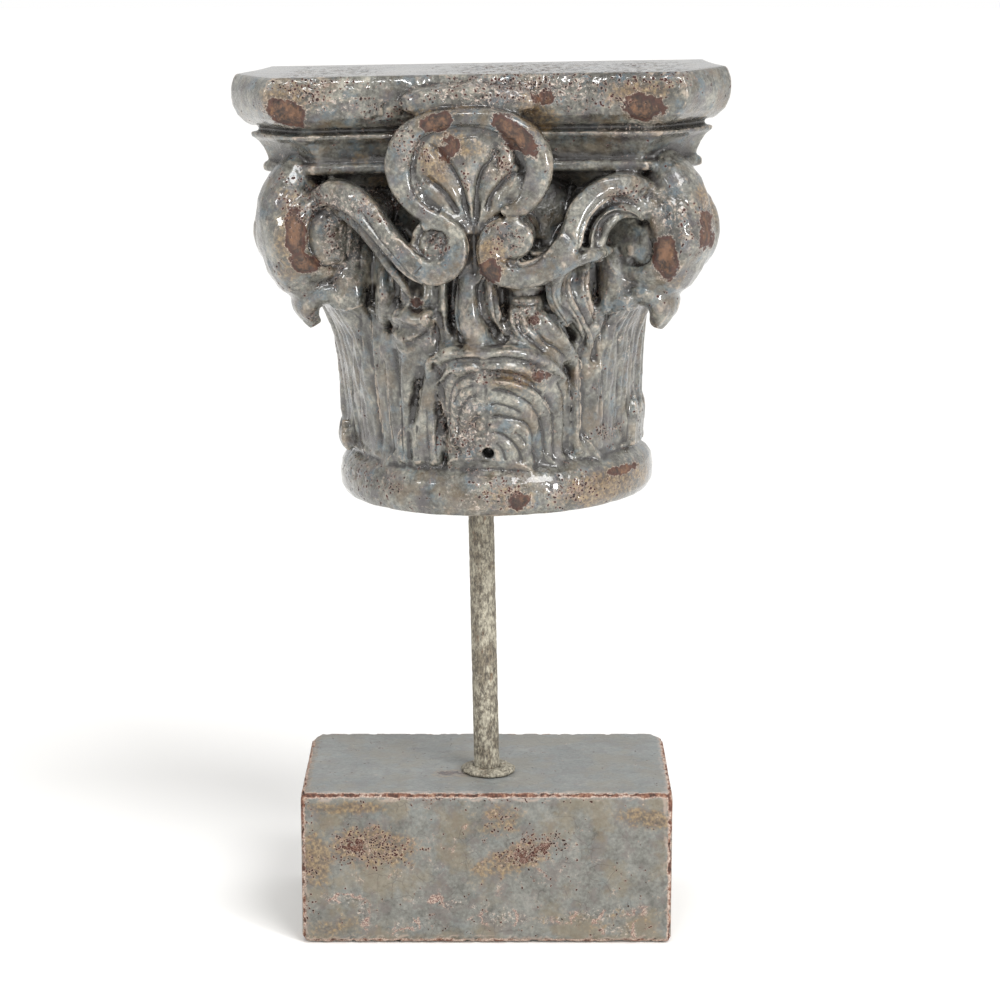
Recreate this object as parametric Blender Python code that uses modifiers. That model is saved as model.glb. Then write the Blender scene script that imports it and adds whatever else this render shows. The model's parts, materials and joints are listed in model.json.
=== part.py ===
# A moulded terracotta half capital of the Corinthian order, on a metal rod and a glazed block.
# Metres, +Z up. The origin is the middle of the block's underside, and the front faces -Y.

import math

import bmesh
import bpy
from mathutils import Matrix, Vector

# Driving sizes
BLOCK_WIDTH = 0.193
BLOCK_DEPTH = 0.110
BLOCK_HEIGHT = 0.082
BLOCK_EDGE_ROUND = 0.0022
CAPITAL_WIDTH = 0.252
CAPITAL_HEIGHT = 0.2220
CAPITAL_FRONT = 0.098
CAPITAL_BACK = 0.004
CAPITAL_UNDERSIDE = 0.2283
ROD_DIAMETER = 0.0135
ROD_END_ROUND = 0.0010
ROD_BEHIND_BLOCK_FRONT = 0.0398
SOCKET_IN_BLOCK = 0.030
SOCKET_IN_CAPITAL = 0.034
AXIS_RIGHT_OF_ROD = 0.0072
AXIS_BEHIND_ROD = 0.036
FLANGE_RADIUS = 0.0152
FLANGE_HEIGHT = 0.0036
FLANGE_EDGE_ROUND = 0.0009
CLEARANCE = 0.0003
LEAN = math.radians(1.2)
TURN = math.radians(-3.7)

# The carving is set out in shares of the capital: 252 of its width, 222 of its height and 98 of its front
SHARE_X = CAPITAL_WIDTH / 252.0
SHARE_Y = CAPITAL_FRONT / 98.0
SHARE_Z = CAPITAL_HEIGHT / 222.0

# How fine the carved skin is before and after it is thinned
CARVING_GRAIN = 2.0
KEPT_FACES = 0.057
STROKE_SIDES = 10

# Ring, bell and neck as (radius, height), from the axis at the top to the axis at the foot
BELL_PROFILE = (
    (0, 178), (64, 178), (65, 165), (70, 148), (74, 128), (74, 105), (73, 80), (72, 55),
    (71, 32), (71.5, 26), (76.5, 24), (80.5, 19.5), (82, 12), (80.8, 5), (77, 0.5), (74, 0), (0, 0),
)
# Abacus and its neck as (inset, height): ovolo, groove, cavetto and fillet
ABACUS_PROFILE = (
    (3.2, 223), (1.4, 220.5), (0.2, 215), (0, 211), (0.8, 206), (3.2, 201), (7.2, 197.2), (9.2, 196.2),
    (11.6, 195.8), (11.6, 193.6), (9.6, 193.2), (9.8, 190.6), (13.2, 189.0), (15.6, 184), (17.4, 178.5),
    (17.0, 177.2), (15.4, 176.6), (15.4, 173.6), (19.5, 172.2), (26, 166),
)
FRONT_CORNER = (104.0, -82.5)
CUT_CORNER = (126.0, -45.0)
BACK_CORNER = (114.0, 12.0)
FRONT_HOLLOW = 6.0
SIDE_HOLLOW = 4.0
CUT_GROWTH = 1.35


def clear_scene():
    for item in list(bpy.data.objects):
        bpy.data.objects.remove(item, do_unlink=True)


def new_collection(name):
    found = bpy.data.collections.new(name)
    bpy.context.scene.collection.children.link(found)
    return found


def new_material(name, colour, roughness, metallic):
    made = bpy.data.materials.new(name)
    made.use_nodes = True
    shader = made.node_tree.nodes["Principled BSDF"]
    shader.inputs["Base Color"].default_value = (*colour, 1.0)
    shader.inputs["Roughness"].default_value = roughness
    shader.inputs["Metallic"].default_value = metallic
    return made


def new_object(name, bm, collection, material=None):
    bmesh.ops.recalc_face_normals(bm, faces=bm.faces)
    mesh = bpy.data.meshes.new(name)
    bm.to_mesh(mesh)
    bm.free()
    made = bpy.data.objects.new(name, mesh)
    collection.objects.link(made)
    if material:
        mesh.materials.append(material)
    return made


def new_cutter(name, bm, collection):
    made = new_object(name, bm, collection)
    made.hide_render = True
    made.display_type = "WIRE"
    return made


def add_boolean(target, cutter, operation):
    step = target.modifiers.new(cutter.name, "BOOLEAN")
    step.operation = operation
    step.object = cutter
    step.solver = "EXACT"


def place(x, y, z):
    return Vector((x * SHARE_X, y * SHARE_Y, z * SHARE_Z))


def bell_radius(z):
    for (r1, z1), (r0, z0) in zip(BELL_PROFILE[1:], BELL_PROFILE[2:]):
        if z0 <= z <= z1:
            return r0 + (r1 - r0) * (z - z0) / (z1 - z0)
    return BELL_PROFILE[1][0] if z > BELL_PROFILE[1][1] else BELL_PROFILE[-2][0]


def on_bell(x, z, raised):
    """The point over the bell at this x and height, and the way out from the axis there."""
    r = bell_radius(z) + raised
    depth = math.sqrt(max(r * r - x * x, 1.0))
    return Vector((x, -depth, z)), Vector((x, -depth, 0)).normalized()


def round_bell(angle, z, raised):
    """The same, by the angle round from the front in degrees."""
    out = Vector((math.sin(math.radians(angle)), -math.cos(math.radians(angle)), 0))
    return out * (bell_radius(z) + raised) + Vector((0, 0, z)), out


def between(values, t):
    """Catmull-Rom through a list of tuples, at t from 0 to 1."""
    last = len(values) - 1
    spot = min(t * last, last - 1e-9)
    i = int(spot)
    f = spot - i
    p = [values[min(max(i + k, 0), last)] for k in (-1, 0, 1, 2)]
    return tuple(
        0.5 * (2 * b + (c - a) * f + (2 * a - 5 * b + 4 * c - d) * f * f + (3 * b - a - 3 * c + d) * f ** 3)
        for a, b, c, d in zip(*p)
    )


def loft(bm, rings):
    """One closed skin through rings of as many points each, with flat ends."""
    rows = [[bm.verts.new(place(*point)) for point in ring] for ring in rings]
    for low, high in zip(rows, rows[1:]):
        for i in range(len(low)):
            j = (i + 1) % len(low)
            bm.faces.new((low[i], low[j], high[j], high[i]))
    bm.faces.new(rows[0])
    bm.faces.new(list(reversed(rows[-1])))


def sweep(bm, stations, square=2.0, across=None):
    """A stroke of clay: an oval section, half width by half height, carried through stations.

    Where the stroke curls over, across holds its section the same way round.
    """
    points = [s[0] for s in stations]
    rings = []
    for i, (point, out, wide, high) in enumerate(stations):
        along = (points[min(i + 1, len(points) - 1)] - points[max(i - 1, 0)]).normalized()
        side = across or along.cross(out).normalized()
        up = side.cross(along).normalized()
        ring = []
        for k in range(STROKE_SIDES):
            a = 2 * math.pi * k / STROKE_SIDES
            c, s = math.cos(a), math.sin(a)
            x = math.copysign(abs(c) ** (2 / square), c) * wide
            y = math.copysign(abs(s) ** (2 / square), s) * high
            ring.append(point + side * x + up * y)
        rings.append(ring)
    loft(bm, rings)


def bell_stroke(bm, knots, steps=10, square=2.0):
    """A stroke over the bell, through knots of x, height, raise, half width and half height."""
    stations = []
    for i in range(steps + 1):
        x, z, raised, wide, high = between(knots, i / steps)
        stations.append((*on_bell(x, z, raised), max(wide, 0.3), max(high, 0.3)))
    sweep(bm, stations, square)


def round_stroke(bm, knots, steps=10, square=2.0):
    """The same, with the angle round from the front in place of x."""
    stations = []
    for i in range(steps + 1):
        angle, z, raised, wide, high = between(knots, i / steps)
        stations.append((*round_bell(angle, z, raised), max(wide, 0.3), max(high, 0.3)))
    sweep(bm, stations, square)


def curl_stroke(bm, knots, steps=12, square=2.0):
    """The same, for a stroke that climbs the bell and curls over."""
    stations = []
    for i in range(steps + 1):
        angle, z, raised, wide, high = between(knots, i / steps)
        stations.append((*round_bell(angle, z, raised), max(wide, 0.3), max(high, 0.3)))
    turn = math.radians(knots[0][0])
    sweep(bm, stations, square, across=Vector((math.cos(turn), math.sin(turn), 0)))


def free_stroke(bm, knots, out=(0, -1, 0), steps=12, square=2.0):
    """A stroke through knots of x, y, z, half width and half height, that looks one way all along."""
    stations = []
    for i in range(steps + 1):
        x, y, z, wide, high = between(knots, i / steps)
        stations.append((Vector((x, y, z)), Vector(out), max(wide, 0.3), max(high, 0.3)))
    sweep(bm, stations, square)


def add_bell(bm):
    """Ring, bell and neck core, turned round the axis; the back is cut off later."""
    round_stroke(bm, [(angle, 118, 1, 16, 6) for angle in (-64, -32, 0, 32, 64)], steps=16, square=3)
    turns = 72
    rings = []
    for r, z in BELL_PROFILE[1:-1]:
        rings.append([
            Vector((r * math.cos(2 * math.pi * k / turns), r * math.sin(2 * math.pi * k / turns), z))
            for k in range(turns)
        ])
    loft(bm, rings)


def abacus_outline(inset):
    """The abacus seen from above, moved in by inset: hollow front, cut corners, hollow sides, flat back."""
    fx, fy = FRONT_CORNER[0] - CUT_GROWTH * inset, FRONT_CORNER[1] + inset
    cx, cy = CUT_CORNER[0] - inset, CUT_CORNER[1] + 0.1 * inset
    bx, by = BACK_CORNER[0] - inset, BACK_CORNER[1]
    right = []
    for i in range(9):
        t = i / 8
        right.append(Vector((fx * t, fy + FRONT_HOLLOW * (1 - t * t), 0)))
    right.append(Vector(((fx + cx) / 2, (fy + cy) / 2, 0)))
    for i in range(5):
        t = i / 4
        x = cx + (bx - cx) * t - SIDE_HOLLOW * math.sin(math.pi * t) * 0.5
        right.append(Vector((x, cy + (by - cy) * t, 0)))
    return right + [Vector((-p.x, p.y, 0)) for p in reversed(right[1:])]


def add_abacus(bm):
    rings = []
    for inset, z in reversed(ABACUS_PROFILE):
        rings.append([p + Vector((0, 0, z)) for p in abacus_outline(inset)])
    loft(bm, rings)


# Corner volutes: side, distance of the wheel from the axis, height of its middle, radius, half width
VOLUTE_ANGLE = 59.5
VOLUTES = ((-1, 102.5, 142.0, 25.0, 17.0), (1, 103.5, 141.0, 27.5, 17.5))
VOLUTE_TURNS = 0.95
VOLUTE_RIM = 5.4
VOLUTE_DISH = 4.0


def volute_frame(side):
    angle = math.radians(VOLUTE_ANGLE)
    outward = Vector((side * math.sin(angle), -math.cos(angle), 0))
    across = Vector((-side * math.cos(angle), -math.sin(angle), 0))
    return outward, across


def add_wheel(bm, middle, outward, across, stations):
    """A wheel on its own axle: stations are distance along the axle and radius."""
    up = Vector((0, 0, 1))
    rings = []
    for along, radius in stations:
        turned = [2 * math.pi * k / 32 for k in range(32)]
        centre = middle + across * along
        rings.append([centre + (outward * math.cos(a) + up * math.sin(a)) * radius for a in turned])
    loft(bm, rings)


def add_volute(bm, side, reach, height, radius, half):
    outward, across = volute_frame(side)
    middle = outward * reach + Vector((0, 0, height))
    up = Vector((0, 0, 1))
    # The wheel: a tread that bellies out, between two dished faces
    dish = half - VOLUTE_DISH
    tread = (
        (-dish, 0.80), (-0.75 * half, 0.94), (-0.4 * half, 0.99), (0, 1), (0.4 * half, 0.99),
        (0.75 * half, 0.94), (dish, 0.80),
    )
    add_wheel(bm, middle, outward, across, [(along, radius * share) for along, share in tread])
    for face in (-1, 1):
        # The rim winds in once round each face
        knots = []
        for k in range(17):
            t = k / 16
            a = math.radians(80) - 2 * math.pi * VOLUTE_TURNS * t
            r = (radius - VOLUTE_RIM + 0.6) * (1 - 0.34 * max(t - 0.35, 0) / 0.65)
            on_face = middle + across * face * (half - VOLUTE_RIM + 0.8)
            spot = on_face + (outward * math.cos(a) + up * math.sin(a)) * r
            knots.append((spot, across * face, VOLUTE_RIM * (1 - 0.35 * t), VOLUTE_RIM))
        sweep(bm, knots, square=2.4)
        # The domed eye inside it
        eye = middle + up * -0.5
        dome = ((dish - 4, 10.2), (half - 1.2, 9.4), (half + 1.2, 7.4), (half + 2.6, 3.6))
        add_wheel(bm, eye, outward, across, [(face * along, r) for along, r in dome])
    # What fills the corner behind the wheel, up to the bell
    back = [
        (outward * (reach - 52) + Vector((0, 0, height + 3)), up, 22, 30),
        (outward * (reach - 22) + Vector((0, 0, height + 3)), up, 17, 27),
        (outward * (reach - 6) + Vector((0, 0, height + 2)), up, 12, 20),
    ]
    sweep(bm, back, square=3.0)


# The bands that run down from the corner volutes and roll up into the inner helices.
# Knots of x, y, height, half width and half height, from the volute's crown to the helix
LEFT_BAND = (
    (-73, -72, 164, 8.6, 8.0), (-62, -77, 161, 8.8, 8.0), (-53, -81, 152, 7.6, 8.0),
    (-44, -85, 142, 7.2, 8.0),
    (-35, -88, 134, 7.0, 7.6), (-26, -90.5, 128.5, 6.8, 7.2),
)
RIGHT_BAND = (
    (76, -72, 166, 9.0, 8.0), (66, -76, 165, 9.6, 8.0), (56, -80, 159, 10.0, 8.0), (49, -83.5, 149, 9.6, 8.0),
    (41, -87, 137, 8.4, 7.8), (30, -90, 127.5, 7.4, 7.4),
)
# Helix: middle x and height, radius where it starts below and where it ends, radius and height of the eye
LEFT_HELIX = (-18.0, 141.5, 14.2, 8.6, 6.6, -94.5)
RIGHT_HELIX = (18.0, 143.0, 16.6, 9.6, 7.8, -97.5)
HELIX_TURN = 330.0
HELIX_FRONT = -92.0


def add_scroll(bm, side, volute, band, helix):
    _, reach, height, radius, half = volute
    outward, across = volute_frame(side)
    crown = outward * (reach - 4) + across * (half - 6) + Vector((0, 0, height + radius - 7.5))
    x0, z0, start, end, eye, eye_front = helix
    knots = [(crown.x, crown.y, crown.z, 7.0, 7.0), *band]
    for k in range(12):
        t = k / 11
        a = math.radians(-100 + HELIX_TURN * t)
        r = start + (end - start) * min(t * 1.5, 1.0)
        x = x0 - side * r * math.cos(a)
        knots.append((x, HELIX_FRONT, z0 + r * math.sin(a), 6.4 * (1 - 0.62 * t), 6.8 * (1 - 0.25 * t)))
    free_stroke(bm, knots, steps=56, square=3.6)
    # A rib along the band, and the eye of the helix
    rib = [(x + side * 2.4, y - high - 0.1, z + 2.2, 2.0, 1.8) for x, y, z, _, high in band[1:]]
    free_stroke(bm, rib, steps=16)
    eye_knots = (
        (x0, -78, z0, eye + 0.8, eye + 0.8), (x0, eye_front + 3, z0, eye, eye),
        (x0, eye_front, z0, eye * 0.62, eye * 0.62),
    )
    free_stroke(bm, eye_knots, out=(0, 0, 1), steps=4)
    # The webs that tie helix and band to the bell behind them
    webs = (
        (15, 140, 12, 15, -88), (30, 130, 12, 8, -86), (44, 142, 11, 11, -80), (56, 152, 12, 12, -74),
        (66, 158, 12, 12, -68),
    )
    for x, z, wide, high, front in webs:
        free_stroke(bm, (
            (side * x, -50, z, wide + 2, high + 1), (side * x, front, z, wide, high),
        ), out=(0, 0, 1), steps=3)


# The fleuron: an omega band over a palmette
RING_MIDDLE = (-2.2, 171.0)
RING_RADIUS = 34.5
RING_HALF_BAND = 7.4
PALMETTE_ROOT = (-2.4, 149.5)
# Lean, length and half width of each petal
PALMETTE = ((-49, 37, 5.6), (-28, 46, 6.4), (0, 49.5, 11.2), (26, 45, 6.0), (43, 37, 5.2))


def add_fleuron(bm):
    cx, cz = RING_MIDDLE
    knots = []
    for k in range(19):
        a = math.radians(-137 + 274 * k / 18)
        pinch = 1.0 - 0.17 * (abs(k - 9) / 9) ** 3
        knots.append((
            cx + RING_RADIUS * pinch * math.sin(a), -89.0, cz + RING_RADIUS * math.cos(a),
            RING_HALF_BAND * (1 - 0.25 * (abs(k - 9) / 9) ** 4), 8.6,
        ))
    free_stroke(bm, knots, steps=48, square=3.2)
    # The ground that the palmette lies on
    free_stroke(bm, ((cx, -60, cz, 34, 34), (cx, -85, cz, 32, 32)), out=(0, 0, 1), steps=2)
    free_stroke(bm, ((cx, -60, 152, 16, 14), (cx, -85, 152, 12, 12)), out=(0, 0, 1), steps=2)
    x0, z0 = PALMETTE_ROOT
    for lean, length, wide in PALMETTE:
        a = math.radians(lean)
        petal = []
        for k in range(8):
            t = k / 7
            tip = math.sqrt(max(1 - (max(t - 0.74, 0) / 0.27) ** 2, 0.05))
            bend = a * (0.30 + 0.70 * t)
            grown = wide * (0.16 + 0.84 * min(t / 0.74, 1.0) ** 1.25) * tip
            x, z = x0 + length * t * math.sin(bend), z0 + length * t * math.cos(bend)
            petal.append((x, -88.0, z, grown, 4.6 + 2.4 * t))
        free_stroke(bm, petal, steps=14, square=2.3)


def add_bud(bm):
    bell_stroke(bm, (
        (2, 130, 9, 5.5, 8), (2.4, 116, 11, 7.4, 8), (2.8, 103, 12, 9.0, 8), (3, 93, 11, 6.8, 7),
        (3.1, 85.5, 11, 1.2, 2),
    ))
    bell_stroke(bm, ((10, 126, 9, 2.2, 5), (13.0, 111, 11, 3.0, 5), (13, 98, 11, 2.2, 4)))
    for x in (-10.5, -16):
        bell_stroke(bm, ((x, 122, 5, 2.4, 4), (x - 1, 108, 7, 3.2, 5), (x + 1.5, 94, 9, 2.6, 5)))


# The great leaf at the foot: nested fronds round a drilled hole, under a curled lip
LEAF_MIDDLE = 2.0
FRONDS = 5
FROND_REACH = 36.5
FROND_STEP = 7.0
FROND_FOOT = 26.5
HOLE_HEIGHT = 33.5
HOLE_RADIUS = 3.0


def add_great_leaf(bm):
    m = LEAF_MIDDLE
    # The body under the fronds
    bell_stroke(bm, (
        (m, 24, -3, 32, 6), (m, 40, -2, 33, 7), (m, 60, 0, 32, 8), (m, 76, 3, 29, 9),
        (m, 90, 4, 26, 8), (m, 106, 3, 20, 8),
    ), square=2.4)
    for side in (-1, 1):
        for k in range(FRONDS):
            reach = FROND_REACH - FROND_STEP * k
            crest = 74.0 - 9.6 * k
            lift = 8.6 - 0.6 * k
            drop = crest - FROND_FOOT
            bell_stroke(bm, (
                (m + side * 1.5, crest - 1, lift + 4, 2.4, 3),
                (m + side * reach * 0.45, crest + 1.5, lift + 3, 3.0, 4.6),
                (m + side * reach * 0.84, crest - drop * 0.17, lift + 1.5, 3.1, 5),
                (m + side * reach * 1.02, crest - drop * 0.50, lift - 1, 2.9, 5),
                (m + side * reach * 0.98, FROND_FOOT, lift - 4, 2.7, 4.4),
            ), steps=14)
        # The curled lip, folded over in three
        for k in range(3):
            bell_stroke(bm, (
                (m + side * 1, 87 - 5 * k, 14 - 1.2 * k, 2.6, 4),
                (m + side * (18 - k), 89.5 - 5.6 * k, 17 - 1.5 * k, 3.0, 5),
                (m + side * (33 - 1.5 * k), 81 - 6 * k, 15.5 - 1.6 * k, 3.1, 5),
                (m + side * (40.5 - 2 * k), 69 - 6 * k, 9 - k, 2.2, 4),
            ), steps=12)


# Smaller leaves and stalks between the great leaf and the corners
def add_middle_leaves(bm):
    # Left: a folded body, and a tip that curls over
    bell_stroke(bm, (
        (-41, 30, -3, 14, 6), (-38, 60, -3, 13, 7), (-33, 84, 0, 11, 8), (-30, 100, 4, 9, 8),
        (-28, 112, 4, 6, 6),
    ), square=2.4)
    for k in range(4):
        x = -47.0 + 6.0 * k
        bell_stroke(bm, (
            (x, 27, 2, 2.6, 4), (x + 1, 50, 4, 2.7, 4.4), (x + 3.5, 74, 7, 2.7, 4.6),
            (x + 7.5, 97, 11, 2.6, 5),
        ), steps=9)
    bell_stroke(bm, (
        (-40, 90, 9, 4.2, 5), (-35, 98, 14, 5.2, 6), (-27, 101, 16, 5.4, 6), (-20.5, 95, 12, 3.6, 5),
    ), steps=8)
    bell_stroke(bm, (
        (-40, 101, 9, 2.6, 5), (-33, 109.5, 14, 3.2, 5), (-25, 110, 14, 3.0, 5), (-17, 103, 9, 2.4, 4),
    ), steps=8)
    bell_stroke(bm, ((-36, 112, 8, 2.6, 5), (-29, 117.5, 11, 2.8, 5), (-21, 117, 9, 2.4, 4)), steps=6)
    # Right: a toothed leaf that flows down and out, under a flat shoulder
    bell_stroke(bm, (
        (19, 112, 1, 7, 6), (30, 96, 3, 10, 7), (39, 80, 3, 9, 6), (44, 60, 0, 6, 5),
    ), steps=8, square=2.4)
    bell_stroke(bm, ((16, 116, 9, 3.0, 5), (26, 117, 10, 3.2, 5), (36, 116, 9, 2.8, 4)), steps=6)
    for k in range(4):
        bell_stroke(bm, (
            (16 + 4.6 * k, 113 - 4.0 * k, 8, 2.6, 5),
            (17 + 5.6 * k, 103 - 4.4 * k, 11, 2.8, 5),
            (22 + 6.0 * k, 94 - 6.4 * k, 11, 2.6, 5),
            (31 + 4.6 * k, 84 - 7.4 * k, 8, 1.9, 4),
        ), steps=8)
    # Stems at the sides of the toothed leaf
    for k in range(3):
        x = 42.5 + 5.8 * k
        bell_stroke(bm, (
            (x, 26, 2, 2.4, 4), (x + 0.6, 50, 3, 2.6, 4.4), (x + 1.0, 76, 4, 2.6, 4.6),
            (x + 0.2 + 1.6 * k, 98, 6, 2.5, 4.6),
            (x - 2 + 4 * k, 122, 9, 2.3, 4.4),
        ), steps=12)
    # Left stalk with its bud, right stalk with its folded lip
    bell_stroke(bm, (
        (-54, 60, 2, 3, 4), (-52, 78, 4, 4.0, 5), (-50.5, 95, 6, 4.4, 5), (-49, 106, 6, 3.2, 4),
    ), steps=8)
    bell_stroke(bm, (
        (-49, 105, 7, 3.2, 4), (-47.5, 112, 9, 5.2, 6), (-46.5, 120, 9, 4.6, 6), (-46, 128, 8, 2, 4),
    ), steps=8)
    for x in (-59, -41):
        bell_stroke(bm, ((x, 96, 2, 3.0, 6), (x, 118, 5, 4.4, 7), (x * 1.04, 138, 9, 5.0, 9)), steps=6)
    bell_stroke(bm, (
        (39, 109, 8, 2.4, 4), (38, 120, 11, 3.0, 5), (45, 127.5, 13, 3.4, 5), (55, 126.5, 12, 3.2, 5),
        (58, 114, 7, 2.6, 4), (52.5, 96, 5, 2.2, 4),
    ), steps=14)
    bell_stroke(bm, ((46, 88, 4, 1.8, 4), (47, 104, 8, 2.4, 5), (49, 118, 9, 2.8, 5)), steps=6)
    bell_stroke(bm, ((60, 96, 0, 4, 6), (61, 116, 3, 5, 8), (60, 134, 6, 6, 9)), steps=6)


# Corner leaves: fluted bodies that climb the bell and let their tips hang over
LEAF_RIBS = 5


def add_corner_leaf(bm, side, angle, top, hang):
    for k in range(LEAF_RIBS):
        spread = (k - (LEAF_RIBS - 1) / 2) / ((LEAF_RIBS - 1) / 2)
        drop = 6 * spread * spread
        curl_stroke(bm, (
            (side * (angle + 18 * spread), 26, -1, 3.7, 5),
            (side * (angle + 17 * spread), 50, 0, 3.7, 5.4),
            (side * (angle + 15.5 * spread), 78, 2, 3.6, 5.6),
            (side * (angle + 13.5 * spread), top - 14 - drop * 0.5, 9, 3.7, 5.4),
            (side * (angle + 11 * spread), top - 4 - drop, 18 - 3 * abs(spread), 3.9, 5),
            (side * (angle + 8.5 * spread), top - 5 - drop, 25 - 6 * abs(spread), 4.0, 4.4),
        ), steps=16)
    body = (
        (side * angle, 26, -3, 22, 5), (side * angle, 60, -3, 21, 6), (side * angle, 90, 0, 19, 7),
        (side * angle, 106, 7, 15, 8),
        (side * angle, 113, 18, 10, 5),
    )
    curl_stroke(bm, body, steps=10, square=2.6)
    # The lip, one broad tongue that narrows to its hanging tip
    curl_stroke(bm, (
        (side * angle, top - 13, 6, 17, 6),
        (side * angle, top - 7, 14, 16.5, 7),
        (side * angle, top - 6.5, 22, 15, 7),
        (side * angle, top - 10, 26.5, 12.5, 6.6),
        (side * angle, top - hang * 0.68, 26, 9, 5.6),
        (side * angle, top - hang, 22.5, 3.2, 3.4),
    ), steps=18, square=2.3)


# Plainer leaves on the sides, towards the flat back
def add_side_leaf(bm, side):
    for k in range(4):
        a = side * (80.5 + 6.5 * k)
        curl_stroke(bm, (
            (a, 26, -1, 3.6, 5), (a, 60, 0, 3.6, 5), (a, 92, 2, 3.4, 5), (a, 112 - 2 * k, 8, 4.0, 5),
            (a, 107 - 2 * k, 13, 2.6, 3),
        ))
    round_stroke(bm, (
        (side * 88, 110, 0, 9, 6), (side * 88, 130, 0, 7, 6), (side * 88, 150, 1, 9, 6),
        (side * 88, 174, 9, 8, 6),
    ), steps=8)


def carve_capital():
    bm = bmesh.new()
    add_bell(bm)
    add_abacus(bm)
    for volute, band, helix in zip(VOLUTES, (LEFT_BAND, RIGHT_BAND), (LEFT_HELIX, RIGHT_HELIX)):
        add_volute(bm, *volute)
        add_scroll(bm, volute[0], volute, band, helix)
    add_fleuron(bm)
    add_bud(bm)
    add_great_leaf(bm)
    add_middle_leaves(bm)
    add_corner_leaf(bm, -1, 59.5, 119, 23)
    add_corner_leaf(bm, 1, 58.5, 116.5, 22.5)
    for side in (-1, 1):
        add_side_leaf(bm, side)
    return bm


def box_mesh(low, high):
    bm = bmesh.new()
    size = [b - a for a, b in zip(low, high)]
    middle = [(a + b) / 2 for a, b in zip(low, high)]
    bmesh.ops.create_cube(bm, size=1.0, matrix=Matrix.Translation(middle) @ Matrix.Diagonal((*size, 1.0)))
    return bm


def rod_mesh(radius, bottom, top, sides, edge=0.0):
    bm = bmesh.new()
    bmesh.ops.create_cone(
        bm, cap_ends=True, segments=sides, radius1=radius, radius2=radius, depth=top - bottom,
        matrix=Matrix.Translation((0, 0, (top + bottom) / 2)),
    )
    if edge:
        rims = [e for e in bm.edges if abs(e.verts[0].co.z - e.verts[1].co.z) < 1e-6]
        bmesh.ops.bevel(bm, geom=rims, offset=edge, segments=2, profile=0.5, affect="EDGES", material=-1)
    return bm


def rod_frame():
    """The leaning axis of the rod, from where it leaves the block's top."""
    foot = Vector((0, -BLOCK_DEPTH / 2 + ROD_BEHIND_BLOCK_FRONT, BLOCK_HEIGHT))
    return Matrix.Translation(foot) @ Matrix.Rotation(-LEAN, 4, "Y")


def build_capital(parts, cutters, material):
    capital = new_object("capital", carve_capital(), parts, material)
    skin = capital.modifiers.new("Skin", "REMESH")
    skin.mode = "VOXEL"
    skin.voxel_size = CARVING_GRAIN * SHARE_Z
    even = capital.modifiers.new("Even", "SMOOTH")
    even.factor = 0.4
    even.iterations = 2
    thin = capital.modifiers.new("Thin", "DECIMATE")
    thin.ratio = KEPT_FACES
    # Flat top, back and underside
    wide = CAPITAL_WIDTH
    trim = new_cutter("trim", box_mesh((-wide, -wide, 0.0), (wide, CAPITAL_BACK, CAPITAL_HEIGHT)), cutters)
    add_boolean(capital, trim, "INTERSECT")
    underside = Matrix.Translation((AXIS_RIGHT_OF_ROD, AXIS_BEHIND_ROD, CAPITAL_UNDERSIDE - BLOCK_HEIGHT))
    frame = rod_frame() @ underside
    frame = frame @ Matrix.Rotation(TURN, 4, "Z")
    bore = rod_mesh(ROD_DIAMETER / 2 + CLEARANCE, -0.02, SOCKET_IN_CAPITAL, 32)
    socket = new_cutter("capital_socket", bore, cutters)
    socket.matrix_world = rod_frame() @ Matrix.Translation((0, 0, CAPITAL_UNDERSIDE - BLOCK_HEIGHT))
    add_boolean(capital, socket, "DIFFERENCE")
    # The drilled hole in the great leaf
    point, out = on_bell(LEAF_MIDDLE, HOLE_HEIGHT, 0)
    drill = rod_mesh(HOLE_RADIUS * SHARE_Z, -0.004, 0.03, 12)
    hole = new_cutter("leaf_hole", drill, cutters)
    turn = out.to_track_quat("Z", "Y").to_matrix().to_4x4()
    hole.matrix_world = frame @ Matrix.Translation(place(*point)) @ turn
    add_boolean(capital, hole, "DIFFERENCE")
    capital.matrix_world = frame
    trim.matrix_world = frame
    return capital


def build_rod(parts, material):
    top = CAPITAL_UNDERSIDE - BLOCK_HEIGHT + SOCKET_IN_CAPITAL - CLEARANCE
    bottom = -SOCKET_IN_BLOCK + CLEARANCE
    rod = new_object("rod", rod_mesh(ROD_DIAMETER / 2, bottom, top, 32, ROD_END_ROUND), parts, material)
    rod.matrix_world = rod_frame()
    return rod


def build_flange(parts, cutters, material):
    sides = 28
    bm = bmesh.new()
    made = bmesh.ops.create_circle(bm, cap_ends=True, segments=sides, radius=1.0)
    for k, corner in enumerate(made["verts"]):
        a = 2 * math.pi * k / sides
        ragged = 1 + 0.07 * math.sin(3 * a + 0.6) + 0.05 * math.sin(7 * a + 2.0) + 0.03 * math.sin(11 * a)
        corner.co = Vector((math.cos(a), math.sin(a), 0)) * FLANGE_RADIUS * ragged
    grown = bmesh.ops.extrude_face_region(bm, geom=bm.faces[:])
    raised = [item for item in grown["geom"] if isinstance(item, bmesh.types.BMVert)]
    bmesh.ops.translate(bm, vec=(0, 0, FLANGE_HEIGHT), verts=raised)
    rim = [e for e in bm.edges if all(v.co.z > FLANGE_HEIGHT / 2 for v in e.verts)]
    bmesh.ops.bevel(
        bm, geom=rim, offset=FLANGE_EDGE_ROUND, segments=2, profile=0.5, affect="EDGES", material=-1,
    )
    flange = new_object("rod_flange", bm, parts, material)
    foot = rod_frame().translation
    flange.location = (foot.x, foot.y, BLOCK_HEIGHT + CLEARANCE)
    bore = new_cutter("flange_bore", rod_mesh(ROD_DIAMETER / 2 + CLEARANCE, -0.02, 0.03, 32), cutters)
    bore.matrix_world = rod_frame()
    add_boolean(flange, bore, "DIFFERENCE")
    return flange


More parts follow.
